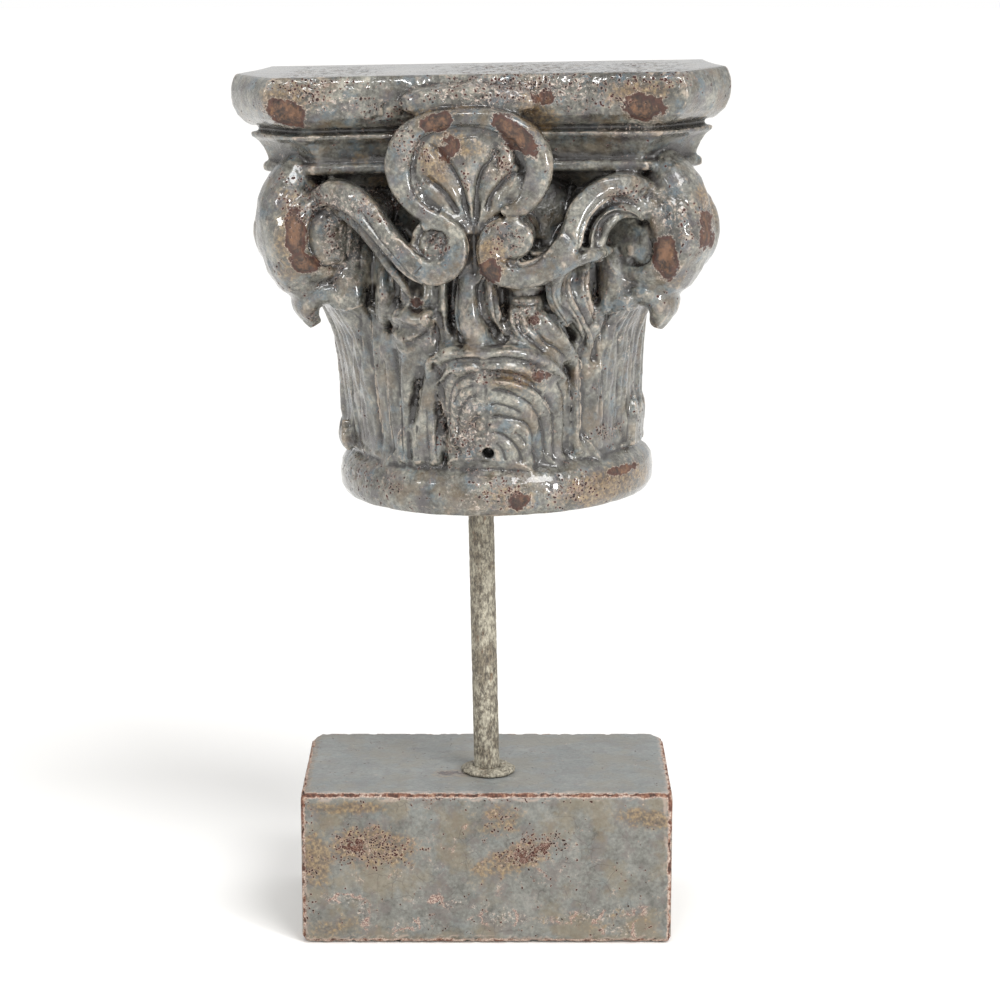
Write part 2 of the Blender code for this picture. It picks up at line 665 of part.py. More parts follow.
def build_block(parts, cutters, material):
    half = BLOCK_WIDTH / 2
    deep = BLOCK_DEPTH / 2
    bm = box_mesh((-half, -deep, 0.0), (half, deep, BLOCK_HEIGHT))
    bmesh.ops.bevel(
        bm, geom=bm.edges[:], offset=BLOCK_EDGE_ROUND, segments=3, profile=0.5, affect="EDGES", material=-1,
    )
    block = new_object("block", bm, parts, material)
    rod_space = rod_mesh(ROD_DIAMETER / 2 + CLEARANCE, -SOCKET_IN_BLOCK, 0.02, 32)
    bore = new_cutter("block_socket", rod_space, cutters)
    bore.matrix_world = rod_frame()
    add_boolean(block, bore, "DIFFERENCE")
    return block


def main():
    clear_scene()
    parts = new_collection("corinthian_capital")
    cutters = new_collection("cutters")
    glaze = new_material("crackle_glazed_terracotta", (0.27, 0.31, 0.29), 0.35, 0.0)
    slab = new_material("matt_glazed_terracotta", (0.29, 0.30, 0.27), 0.5, 0.0)
    iron = new_material("whitewashed_iron", (0.32, 0.31, 0.27), 0.6, 0.6)
    crust = new_material("limed_iron_collar", (0.42, 0.41, 0.36), 0.8, 0.2)
    build_capital(parts, cutters, glaze)
    build_rod(parts, iron)
    build_flange(parts, cutters, crust)
    build_block(parts, cutters, slab)


main()
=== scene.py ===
# Moulded half capital in crackle-glazed terracotta, on a limed iron rod and a matt-glazed block
import json
import math
from types import SimpleNamespace

import bmesh
import bpy
import numpy as np
from mathutils import Matrix, Vector, noise


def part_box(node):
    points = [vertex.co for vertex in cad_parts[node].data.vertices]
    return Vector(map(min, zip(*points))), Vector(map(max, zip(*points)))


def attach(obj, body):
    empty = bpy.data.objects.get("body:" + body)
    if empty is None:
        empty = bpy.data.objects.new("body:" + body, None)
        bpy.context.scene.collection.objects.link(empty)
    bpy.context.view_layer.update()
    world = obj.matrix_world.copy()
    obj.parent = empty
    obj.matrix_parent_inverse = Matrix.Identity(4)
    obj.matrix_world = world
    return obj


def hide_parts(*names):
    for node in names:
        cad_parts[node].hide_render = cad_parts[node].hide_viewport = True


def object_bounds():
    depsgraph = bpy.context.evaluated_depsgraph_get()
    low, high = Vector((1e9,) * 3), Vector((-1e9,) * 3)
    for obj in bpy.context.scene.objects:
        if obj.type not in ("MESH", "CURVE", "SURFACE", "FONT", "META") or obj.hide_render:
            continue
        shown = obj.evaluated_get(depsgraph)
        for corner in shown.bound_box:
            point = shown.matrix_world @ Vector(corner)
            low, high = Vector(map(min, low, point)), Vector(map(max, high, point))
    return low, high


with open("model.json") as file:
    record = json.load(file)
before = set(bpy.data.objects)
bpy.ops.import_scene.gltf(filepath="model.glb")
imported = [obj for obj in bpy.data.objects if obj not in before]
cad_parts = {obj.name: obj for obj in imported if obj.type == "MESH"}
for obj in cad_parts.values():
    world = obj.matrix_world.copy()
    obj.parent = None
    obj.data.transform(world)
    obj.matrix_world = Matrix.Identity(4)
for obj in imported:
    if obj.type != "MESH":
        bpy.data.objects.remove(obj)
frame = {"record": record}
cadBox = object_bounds()

mounts = {mount["name"]: mount for mount in frame["record"]["mounts"]}


# Small helpers

def toLinear(hexColour):
    channels = [int(hexColour[i:i + 2], 16) / 255 for i in (1, 3, 5)]
    return tuple(c / 12.92 if c <= 0.04045 else ((c + 0.055) / 1.055) ** 2.4 for c in channels) + (1.0,)


def perMm(size):  # texture scale that gives features of this many millimetres on Object coordinates
    return 1000.0 / size


def addNode(tree, kind, settings=None, links=None):  # keys: the node's own in lower case, else its sockets
    node = tree.nodes.new(kind)
    for key, value in (settings or {}).items():
        if key == "stops":
            ramp = node.color_ramp
            while len(ramp.elements) < len(value):
                ramp.elements.new(0.5)
            for element, (place, colour) in zip(ramp.elements, value):
                element.position = place
                element.color = toLinear(colour)
        elif isinstance(key, str) and key[0].islower():
            setattr(node, key, value)
        else:
            node.inputs[key].default_value = toLinear(value) if isinstance(value, str) else value
    for key, output in (links or {}).items():
        tree.links.new(output, node.inputs[key])
    return node


def between(knots, t):  # a smooth curve through the knots, t from 0 to 1
    last = len(knots) - 1
    spot = min(t * last, last - 1e-9)
    i = int(spot)
    f = spot - i
    a, b, c, d = (np.array(knots[min(max(i + k, 0), last)], dtype=float) for k in (-1, 0, 1, 2))
    bend, twist = 2 * a - 5 * b + 4 * c - d, 3 * b - a - 3 * c + d
    return 0.5 * (2 * b + (c - a) * f + bend * f * f + twist * f ** 3)


def smoothStep(low, high, value):
    t = np.clip((value - low) / (high - low), 0.0, 1.0)
    return t * t * (3 - 2 * t)


def plateau(value, low, full, fade, high):  # 0 outside low and high, 1 between full and fade
    return smoothStep(low, full, value) * smoothStep(high, fade, value)


def ovalShare(points, axis, oval):  # 0 in the middle and 1 on the edge of an oval over x and this axis
    x, other, wide, long = oval
    return np.hypot((points[:, 0] - x) / wide, (points[:, axis] - other) / long)


def newObject(name, data):
    made = bpy.data.objects.new(name, data)
    bpy.context.scene.collection.objects.link(made)
    return made


def objectFrom(bm, name):
    mesh = bpy.data.meshes.new(name)
    bm.to_mesh(mesh)
    bm.free()
    return newObject(name, mesh)


def extrudeFace(bm, face):
    grown = bmesh.ops.extrude_face_region(bm, geom=[face, *face.edges])["geom"]
    return next(item for item in grown if isinstance(item, bmesh.types.BMFace))


def addSkin(piece, size):  # one even skin over all that the piece is laid up from
    skin = piece.modifiers.new("Skin", "REMESH")
    skin.mode = "VOXEL"
    skin.voxel_size = size


def bakeModifiers(piece):
    graph = bpy.context.evaluated_depsgraph_get()
    mesh = bpy.data.meshes.new_from_object(piece.evaluated_get(graph))
    old = piece.data
    piece.modifiers.clear()
    piece.data = mesh
    bpy.data.meshes.remove(old)


def meshArrays(mesh):
    points = np.empty(len(mesh.vertices) * 3, dtype=np.float32)
    normals = np.empty(len(mesh.vertices) * 3, dtype=np.float32)
    mesh.vertices.foreach_get("co", points)
    mesh.vertices.foreach_get("normal", normals)
    return points.reshape(-1, 3).astype(float), normals.reshape(-1, 3).astype(float)


def setPoints(mesh, points):
    mesh.vertices.foreach_set("co", points.astype(np.float32).ravel())
    mesh.update()


def setAttribute(mesh, name, values):
    layer = mesh.attributes.new(name, "FLOAT", "POINT")
    layer.data.foreach_set("value", values.astype(np.float32))


def noiseField(points, size, offset):  # smooth noise, about -1 to 1, with features of this size
    shift = Vector((offset, offset * 0.7, -offset))
    return np.array([noise.noise(Vector(p) / size + shift) for p in points])


def smoothed(mesh, values, rounds):  # values averaged with their neighbours' along the edges
    edges = np.empty(len(mesh.edges) * 2, dtype=np.int32)
    mesh.edges.foreach_get("vertices", edges)
    a, b = edges.reshape(-1, 2).T
    count = len(mesh.vertices)
    degree = np.bincount(a, minlength=count) + np.bincount(b, minlength=count)
    for _ in range(rounds):
        columns = [
            (np.bincount(a, column[b], count) + np.bincount(b, column[a], count)) / np.maximum(degree, 1)
            for column in values.T
        ]
        values = 0.5 * values + 0.5 * np.stack(columns, axis=1)
    return values


def hollowness(mesh, points, normals, rounds):  # above 0 in hollows and below 0 on edges, in the mesh's units
    return np.einsum("ij,ij->i", smoothed(mesh, points, rounds) - points, normals)


# The strokes that the carving is laid up from, in mm: x to the right, -y forward, z from the underside

upwards = (0, 0, 1)


def addLoft(bag, rings):  # one closed skin: a disc, extruded ring by ring
    bm = bmesh.new()
    bmesh.ops.create_circle(bm, cap_ends=True, segments=len(rings[0]), radius=1.0)
    face = bm.faces[:][0]
    corners = list(face.verts)
    for corner, point in zip(corners, rings[0]):
        corner.co = point
    for ring in rings[1:]:
        places = {tuple(corner.co): k for k, corner in enumerate(corners)}
        face = extrudeFace(bm, face)
        corners = sorted(face.verts, key=lambda corner: places[tuple(corner.co)])
        for corner, point in zip(corners, ring):
            corner.co = point
    if max(vert.co.y for vert in bm.verts) > carving["back"]:
        everything = bm.verts[:] + bm.edges[:] + bm.faces[:]
        bmesh.ops.bisect_plane(
            bm, geom=everything, plane_co=(0, carving["back"], 0), plane_no=(0, 1, 0), clear_outer=True,
        )
        bmesh.ops.holes_fill(bm, edges=[edge for edge in bm.edges if edge.is_boundary])
    bmesh.ops.recalc_face_normals(bm, faces=bm.faces)
    held = bpy.data.meshes.new("stroke")
    bm.to_mesh(held)
    bm.free()
    bag.from_mesh(held)
    bpy.data.meshes.remove(held)


def sweep(bag, stations, square, across=None):  # a section through stations, squarer as square goes above 2
    points = [station[0] for station in stations]
    sides = carving["strokeSides"]
    rings = []
    for i, (point, out, wide, high) in enumerate(stations):
        along = (points[min(i + 1, len(points) - 1)] - points[max(i - 1, 0)]).normalized()
        side = across or along.cross(out).normalized()
        up = side.cross(along).normalized()
        ring = []
        for k in range(sides):
            c, s = math.cos(2 * math.pi * k / sides), math.sin(2 * math.pi * k / sides)
            x = math.copysign(abs(c) ** (2 / square), c) * wide
            y = math.copysign(abs(s) ** (2 / square), s) * high
            ring.append(point + side * x + up * y)
        rings.append(ring)
    addLoft(bag, rings)


def bellRadius(z):
    profile = bell["profile"]
    return float(np.interp(z, [p[1] for p in profile], [p[0] for p in profile]))


def bellStroke(bag, knots, steps=14, square=2.0, sink=0.0):  # knots: x, z, raise, half width, half height
    stations = []
    for i in range(steps + 1):
        x, z, raised, wide, high = between(knots, i / steps)
        end = min(i, steps - i) / steps
        radius = bellRadius(z) + raised - sink * (1 - float(smoothStep(0, 0.2, end)))
        depth = math.sqrt(max(radius * radius - x * x, 1.0))
        out = Vector((x, -depth, 0)).normalized()
        stations.append((Vector((x, -depth, z)), out, max(wide, 0.3), max(high, 0.3)))
    sweep(bag, stations, square)


def roundStroke(bag, knots, steps=14, square=2.0, curls=False):  # with the angle from the front for x
    stations = []
    for i in range(steps + 1):
        angle, z, raised, wide, high = between(knots, i / steps)
        out = Vector((math.sin(math.radians(angle)), -math.cos(math.radians(angle)), 0))
        point = out * (bellRadius(z) + raised) + Vector((0, 0, z))
        stations.append((point, out, max(wide, 0.3), max(high, 0.3)))
    turn = math.radians(knots[0][0])
    sweep(bag, stations, square, Vector((math.cos(turn), math.sin(turn), 0)) if curls else None)


def freeStroke(bag, knots, out=(0, -1, 0), steps=14, square=2.0):  # knots: x, y, z, half width, half height
    stations = []
    for i in range(steps + 1):
        x, y, z, wide, high = between(knots, i / steps)
        stations.append((Vector((x, y, z)), Vector(out), max(wide, 0.3), max(high, 0.3)))
    sweep(bag, stations, square)


carving = {
    "back": 4.0,  # the flat back of the half capital
    "height": 222.0,
    "topMount": (0, -0.040, 0.222),  # from the middle of the underside, in metres
    "strokeSides": 16,
    "voxel": 0.85,
    "triangles": 197000,
    "comb": 0.42,  # how deep the corner leaves are combed
    "combs": 3.6,  # ribs to each side of a leaf's middle
    "combed": (28, 40, 96, 108),  # the heights between which they are
    "lineReach": 5,  # how many widths of a line it is felt over
    "lineEnds": 0.12,  # the share of its length over which it fades at each end
    "uneven": 0.45,  # how far the pressed clay wanders
    "crust": 0.75,  # how far crusted places stand up and fall in
    "chip": 0.9,  # how deep the pitted places are chipped
    "fillRounds": 60, "fill": 1.7,
    "leaves": (23, 27, 112, 126),  # the heights between which the gaps of the carving are filled
    "palmette": (-4, 174, 27, 24),  # the oval where they are filled too: x, z, half width, half height
    "neck": (180, 186, 201, 207),  # the heights of the hollow under the top, where less painted shade is laid into the hollow
    "bore": 0.00695,  # radius of the rod's socket, in metres
    "drilled": {"spot": (2.5, -80, 33), "inner": 2.9, "outer": 3.4, "length": 26},
    "spalls": (  # the broken right corner of the top: a point on the cut and the way it faces
        ((122, -60, 219), (0.75, -0.35, 0.56)), ((101, -84, 221.5), (0.3, -0.6, 0.74)),
    ),
    "pressed": 0.85,  # the share by which what stands past a cut is pressed back
}


def breakOff(points, spalls, rough, share):  # presses what stands past each rough cut back to it
    for spot, faces in spalls:
        outward = np.array(Vector(faces).normalized())
        over = (points - np.array(spot)) @ outward + rough
        points -= np.outer(np.maximum(over, 0) * share, outward)


# Ring, bell and abacus

bell = {
    "profile": (  # radius, height
        (76, 0), (79.6, 1.0), (82, 5), (82.6, 11), (81.6, 17.5), (79, 21.5), (75, 24.5), (71.5, 26),
        (70.6, 30), (71, 55), (72, 80), (73, 105), (73, 128), (69, 148), (64, 165), (63, 178),
    ),
    "sides": 120,
    "ringTop": 26, "ringShift": 1.3,  # the ring sits a little to the right
}


def addBell(bag):
    rings = []
    for radius, z in bell["profile"]:
        shift = bell["ringShift"] if z < bell["ringTop"] else 0.0
        turns = [2 * math.pi * k / bell["sides"] for k in range(bell["sides"])]
        rings.append([Vector((radius * math.cos(a) + shift, radius * math.sin(a), z)) for a in turns])
    addLoft(bag, rings)
    roundStroke(bag, [(angle, 119, 0, 16, 6) for angle in (-64, -32, 0, 32, 64)], steps=20, square=3)


abacus = {
    "profile": (  # inset, height: ovolo, groove, cavetto, fillet
        (30, 164), (20.5, 171.6), (15.6, 172.8), (15.0, 175.0), (15.6, 177.0), (18.0, 178.2),
        (17.4, 180.8), (15.4, 184.8), (13.0, 188.4), (9.8, 190.6), (9.4, 192.6), (13.6, 193.2),
        (13.6, 195.8), (9.4, 196.2), (7.0, 197.6), (3.2, 201.2), (0.9, 206), (0.1, 211), (0.3, 215.5),
        (1.4, 219.4), (2.4, 221.2), (3.6, 222),
    ),
    "frontCorner": (104.0, -82.5), "cutCorner": (126.0, -45.0), "backCorner": (114.0, 12.0),
    "frontHollow": 6.0, "sideHollow": 2.0, "cutGrowth": 1.35,
    "boss": ((-3, -66, 209, 36, 9.5), (-3, -82.5, 209, 34, 9), (-3, -86.5, 209, 24, 6)),
}


def abacusOutline(inset, z):
    fx = abacus["frontCorner"][0] - abacus["cutGrowth"] * inset
    fy = abacus["frontCorner"][1] + inset
    cx, cy = abacus["cutCorner"][0] - inset, abacus["cutCorner"][1] + 0.1 * inset
    bx, by = abacus["backCorner"][0] - inset, abacus["backCorner"][1]
    right = []
    for t in np.linspace(0, 1, 12):
        right.append(Vector((fx * t, fy + abacus["frontHollow"] * (1 - t * t), z)))
    for t in (0.04, 0.35, 0.65, 0.96):
        bulge = 0.8 * math.sin(math.pi * t)
        right.append(Vector((fx + (cx - fx) * t + bulge, fy + (cy - fy) * t - bulge, z)))
    for t in np.linspace(0, 1, 7):
        hollow = abacus["sideHollow"] * math.sin(math.pi * t)
        right.append(Vector((cx + (bx - cx) * t - hollow, cy + (by - cy) * t, z)))
    return right + [Vector((-p.x, p.y, z)) for p in reversed(right[1:])]


def addAbacus(bag):
    addLoft(bag, [abacusOutline(inset, z) for inset, z in abacus["profile"]])
    # The boss where the front swells out over the fleuron
    freeStroke(bag, abacus["boss"], upwards, 6, 2.2)


# Corner volutes: a bellied wheel on each corner, a spiral rim and an eye on each face

volutes = {
    "angle": 59.5, "sides": 48, "barrel": 15,
    "tread": (
        (-1.0, 0.62), (-0.92, 0.80), (-0.75, 0.94), (-0.4, 0.99), (0, 1), (0.4, 0.99), (0.75, 0.95),
        (0.95, 0.84),
    ),
    "corner": ((52, 22, 30), (22, 17, 27), (6, 12, 20)),  # back from the rim, half width, half height
    "left": {
        "side": -1, "reach": 102.5, "height": 142.0, "radius": 25.0, "half": 17.0,
        "shoulder": (  # the barrel of the tread, carried up under the abacus: height, reach, half width
            (120, 112, 9), (121.4, 117.4, 13), (124, 121.4, 15), (128, 124, 16), (138, 127, 16),
            (150, 128.4, 16), (157, 127.4, 15.5), (161, 125.4, 14.5), (165.4, 122.6, 13), (169, 119, 11),
            (171.5, 115, 8),
        ),
        "face": (  # outwards and up from the axle, then a wheel or a rim
            (-1.5, 0.0, (
                (10, 22, 22), (15.5, 22.5, 21.5), (17.6, 20.8, 19.6), (18.8, 17.5, 16.5), (19.2, 12, 12),
            )),
            (-1.5, 0.0, {
                "from": 100, "turns": 0.72, "start": 15.6, "end": 14.5, "face": 14.6,
                "wide": 5.6, "high": 5.4, "thins": 0.2,
            }),
            (-8.8, -0.2, ((14, 9, 14.5), (18.4, 8.6, 14), (20.2, 7.4, 12), (21.0, 4.5, 8))),
        ),
    },
    "right": {
        "side": 1, "reach": 103.5, "height": 141.0, "radius": 27.5, "half": 17.5,
        "shoulder": (
            (119.4, 113, 9), (120.8, 119, 13), (123.6, 123.2, 15), (128, 126.4, 16), (138, 130, 16.5),
            (150, 130.2, 16.5), (156, 128.8, 15.5), (161, 127, 14.5), (165.4, 123, 13), (169, 118.6, 11),
            (171.5, 114.6, 8),
        ),
        "face": (
            (-9.0, -2.5, {
                "from": 80, "turns": 0.66, "start": 21.5, "end": 12.5, "face": 13.4,
                "wide": 6.6, "high": 6.4, "thins": 0.4,
            }),
            (-9.0, -2.5, ((4, 15.5, 15.5), (9.6, 15, 15), (11.4, 12.6, 12.6), (12.0, 6, 6))),
            (-6.6, -7.9, ((8, 7.0, 6.8), (13.4, 6.6, 6.4), (16.4, 5.2, 5.0), (17.8, 2.4, 2.4))),
        ),
    },
}


def voluteFrame(side):
    angle = math.radians(volutes["angle"])
    outward = Vector((side * math.sin(angle), -math.cos(angle), 0))
    across = Vector((-side * math.cos(angle), -math.sin(angle), 0))
    return outward, across


def addWheel(bag, middle, outward, across, stations):  # stations: along the axle, radius out, radius up
    turns = [2 * math.pi * k / volutes["sides"] for k in range(volutes["sides"])]
    rings = []
    for along, wide, tall in stations:
        hub = middle + across * along
        rings.append([hub + outward * math.cos(a) * wide + Vector((0, 0, math.sin(a) * tall)) for a in turns])
    addLoft(bag, rings)


def addSpiral(bag, middle, outward, across, spiral):  # a rim that winds in on a face of the wheel
    knots = []
    for t in np.linspace(0, 1, 30):
        a = math.radians(spiral["from"] - 360 * spiral["turns"] * t)
        r = spiral["start"] + (spiral["end"] - spiral["start"]) * t ** 1.6
        spot = middle + across * spiral["face"] + outward * math.cos(a) * r + Vector((0, 0, math.sin(a) * r))
        thin = 1 - spiral["thins"] * t
        facing = across * math.copysign(1, spiral["face"])
        knots.append((spot, facing, spiral["wide"] * thin, spiral["high"] * thin))
    sweep(bag, knots, 2.4)


def addBackFace(bag, middle, outward, across, volute):  # the plainer spiral on the side face
    r, half = volute["radius"], volute["half"]
    rim = {
        "from": 80, "turns": 1.1, "start": r - 5, "end": r - 13, "face": 5 - half, "wide": 5, "high": 6,
        "thins": 0.3,
    }
    addSpiral(bag, middle, outward, across, rim)
    dome = ((half - 6, 9), (half - 1.5, 8.4), (half + 1, 5.5), (half + 1.8, 2.5))
    addWheel(bag, middle, outward, across, [(-along, wide, wide) for along, wide in dome])


def addVolute(bag, volute):
    outward, across = voluteFrame(volute["side"])
    reach, height, radius, half = (volute[key] for key in ("reach", "height", "radius", "half"))
    middle = outward * reach + Vector((0, 0, height))
    addWheel(bag, middle, outward, across, [(half * a, radius * r, radius * r) for a, r in volutes["tread"]])
    # What fills the corner behind the wheel, up to the bell
    stations = []
    for back, wide, high in volutes["corner"]:
        stations.append((outward * (reach - back) + Vector((0, 0, height + 3)), Vector(upwards), wide, high))
    sweep(bag, stations, 3.0)
    stations = []
    for z, outer, wide in volute["shoulder"]:
        spot = outward * (outer - volutes["barrel"]) + Vector((0, 0, z))
        stations.append((spot, outward, wide, volutes["barrel"]))
    sweep(bag, stations, 2.6)
    for out, up, shape in volute["face"]:
        laid = addSpiral if isinstance(shape, dict) else addWheel
        laid(bag, middle + outward * out + Vector((0, 0, up)), outward, across, shape)
    addBackFace(bag, middle, outward, across, volute)


# The bands that run down from the volutes and roll up into the helices: x, y, z, half width, half height

scrolls = {
    "leftBand": (
        (-79, -60, 159.5, 7.0, 7.0), (-72, -70, 163.5, 7.6, 8.0), (-63, -77, 162, 7.4, 8.0),
        (-56, -81, 157.5, 7.2, 8.0), (-50, -84, 151, 6.6, 8.0), (-44.5, -86.5, 144.2, 6.0, 8.0),
        (-38.5, -88.5, 137.2, 5.8, 8.0), (-32.5, -90, 131.0, 6.0, 7.6), (-26, -90.5, 127.4, 6.5, 7.2),
        (-19.5, -91, 127.0, 6.8, 7.0), (-12.8, -91, 130.2, 6.5, 7.0), (-9.0, -91, 137.5, 5.9, 6.8),
        (-9.6, -91, 144.5, 5.2, 6.4), (-13.5, -91, 149.6, 4.3, 6.2), (-19.5, -90.5, 151.2, 3.5, 6.0),
        (-26, -90, 149.8, 2.8, 5.4),
    ),
    "leftStrip": (
        (-70, -66, 156, 4, 6), (-63, -72, 151.5, 3.6, 6), (-56.5, -76, 145.5, 3.4, 6),
        (-50.5, -79, 138.5, 3.2, 6), (-45, -82, 131, 3.0, 6), (-40, -83, 124, 2.6, 5.6),
        (-36, -80, 117, 2.0, 4.4), (-34, -76, 111, 1.2, 3),
    ),
    "rightBand": (
        (84, -60, 161, 7.0, 7.0), (74, -70, 166.0, 6.4, 8.0), (65, -76, 165.6, 6.0, 8.0),
        (57, -80, 161.6, 6.2, 8.0), (51, -83, 155.0, 6.2, 8.0), (48, -85.5, 147.6, 5.8, 8.0),
        (45.5, -87.5, 140.4, 6.4, 8.0), (40.2, -89.5, 133.2, 7.0, 7.8), (33.8, -90.5, 128.2, 7.1, 7.4),
        (26.5, -91, 125.6, 7.0, 7.2), (18.5, -91, 125.2, 6.7, 7.2), (11.2, -91.5, 127.0, 6.6, 7.0),
        (6.8, -91.5, 132.5, 6.1, 7.0), (5.8, -91.5, 139.8, 5.6, 6.8), (8.6, -91, 147.0, 4.6, 6.4),
        (14, -91, 151.0, 3.4, 6.0),
    ),
    "leftEye": (
        (-20, -76, 141, 12.4, 12.4), (-20.4, -91, 141.4, 12.2, 12.2), (-20.8, -93.4, 141.6, 9, 9),
        (-21, -94, 141.8, 4, 4),
    ),
    "rightDisc": (
        (16.4, -76, 143, 12.6, 11.0), (16.4, -93.5, 143, 12.4, 10.8), (16.4, -96.2, 143, 11.4, 9.8),
        (16.4, -97.2, 143, 8.6, 7.2),
    ),
    "rightRib": (
        (56.5, -80, 134, 1.8, 4), (56.2, -81, 141, 2.0, 5), (58.6, -81.5, 148, 2.1, 5),
        (63.5, -80, 153.6, 2.1, 5), (69.5, -76.5, 155.2, 2.0, 5), (75.5, -72.5, 153.4, 1.8, 5),
        (80.5, -69, 149.6, 1.4, 4),
    ),
    "rightShelf": (
        (57, -74, 130, 4.6, 6), (58, -76, 140, 5.4, 6), (61.4, -76, 149, 6.2, 6),
        (68, -74, 155.4, 6.6, 6), (77, -69, 156, 6.4, 6), (86, -63, 151, 5, 6),
    ),
    "webs": (
        (15, 140, 12, 14, -87), (29, 129, 12, 6, -85), (45.5, 138.5, 6.5, 7, -82), (52.5, 152, 7, 8, -76),
    ),
    "loop": (
        (42.6, -70, 98, 2.2, 4), (38.2, -78, 108, 3.6, 5.4), (36.8, -82.5, 117, 4.2, 6),
        (39.4, -87, 126, 4.8, 6.6), (45.4, -88.5, 131.4, 5.0, 6.8), (51.6, -86, 133.2, 4.6, 6.6),
        (57.6, -80, 133.4, 3.8, 6), (62.5, -71, 134, 2.6, 5),
    ),
    "ground": ((67, -52, 132, 9, 8), (67, -56, 118, 9, 8), (64, -58, 104, 7, 7)),  # by each corner leaf
    "heart": ((-1.2, -50, 137, 8, 18), (-1.2, -90.5, 137, 6, 17)),
}


def addScrolls(bag):
    freeStroke(bag, scrolls["leftBand"], steps=64, square=4.2)
    freeStroke(bag, scrolls["rightBand"], steps=64, square=4.2)
    freeStroke(bag, scrolls["leftStrip"], steps=20, square=2.4)
    freeStroke(bag, scrolls["rightRib"], steps=24)
    freeStroke(bag, scrolls["loop"], steps=30)
    freeStroke(bag, scrolls["rightShelf"], steps=24, square=3.0)
    for side in (-1, 1):
        freeStroke(bag, [(side * x, *rest) for x, *rest in scrolls["ground"]])
    freeStroke(bag, scrolls["leftEye"], upwards, 6)
    freeStroke(bag, scrolls["rightDisc"], upwards, 8)
    for side in (-1, 1):
        for x, z, wide, high, front in scrolls["webs"]:
            knots = ((side * x, -50, z, wide + 2, high + 1), (side * x, front, z, wide, high))
            freeStroke(bag, knots, upwards, 3)
    freeStroke(bag, scrolls["heart"], upwards, 3)


# The fleuron: an omega band over a palmette of five petals

fleuron = {
    "band": (  # x, z, half width
        (-15, 151.5, 4.0), (-23, 155.8, 5.2), (-30.5, 162.4, 6.2), (-35.2, 170.4, 7.0),
        (-37.2, 179.6, 7.3), (-35.2, 188.8, 6.9), (-29.0, 196.2, 6.0), (-18.5, 200.6, 5.2),
        (-4, 202.0, 4.9), (9.5, 200.8, 5.4), (20.5, 196.0, 6.6), (28.0, 188.0, 7.8), (30.4, 178.2, 8.3),
        (28.2, 168.6, 7.8), (22.6, 160.4, 6.6), (14.5, 154.0, 5.0),
    ),
    "bandY": -88.6, "bandHigh": 8.4,
    "petals": (  # x, z, half width, half height
        ((-3, 149, 1.6, 4), (-9, 155.6, 2.8, 5), (-16, 160.6, 3.8, 5.4), (-23, 168, 4.0, 5.4),
         (-27.4, 175, 2.6, 4.6)),
        ((-3, 151, 1.4, 4.4), (-9.0, 162, 3.6, 5.6), (-15.6, 171.4, 5.6, 6.4), (-21.4, 180.6, 6.2, 6.4),
         (-24, 189, 3.2, 5)),
        ((-1.4, 149, 1.6, 4.6), (-2.0, 160, 3.8, 5.8), (-3.2, 172, 8.6, 6.6), (-4.8, 183, 13.0, 7),
         (-5.6, 192, 14.4, 6.6)),
        ((0.6, 149, 1.6, 4.6), (3.6, 159, 2.8, 5.6), (8.6, 169, 4.8, 6.2), (14.8, 178.5, 6.0, 6.4),
         (16.6, 188, 4.2, 5.6)),
        ((3.6, 149.6, 1.6, 4.4), (9.6, 157.6, 2.6, 5), (15.8, 164.6, 3.2, 5.4), (20.8, 173, 3.0, 5.4),
         (21.8, 182, 2.0, 4.6)),
    ),
    "petalY": -87.4,
    "ground": (  # what the palmette lies on: x, y, z, half width, half height
        ((-3.5, -58, 174, 34, 28), (-3.5, -84, 174, 30, 26)),
        ((-4, -80, 175.6, 30, 25), (-4, -92.0, 175.6, 29.4, 24.6)),
        ((-2, -58, 154, 17, 14), (-1, -91, 156, 13, 11)),
    ),
}


def addFleuron(bag):
    band = [(x, fleuron["bandY"], z, wide, fleuron["bandHigh"]) for x, z, wide in fleuron["band"]]
    freeStroke(bag, band, steps=72, square=3.8)
    for ground in fleuron["ground"]:
        freeStroke(bag, ground, upwards, 2)
    for petal in fleuron["petals"]:
        knots = [(x, fleuron["petalY"], z, wide, high) for x, z, wide, high in petal]
        freeStroke(bag, knots, steps=18, square=2.3)


# Leaves, buds and stalks on the bell: x, z, raise, half width, half height

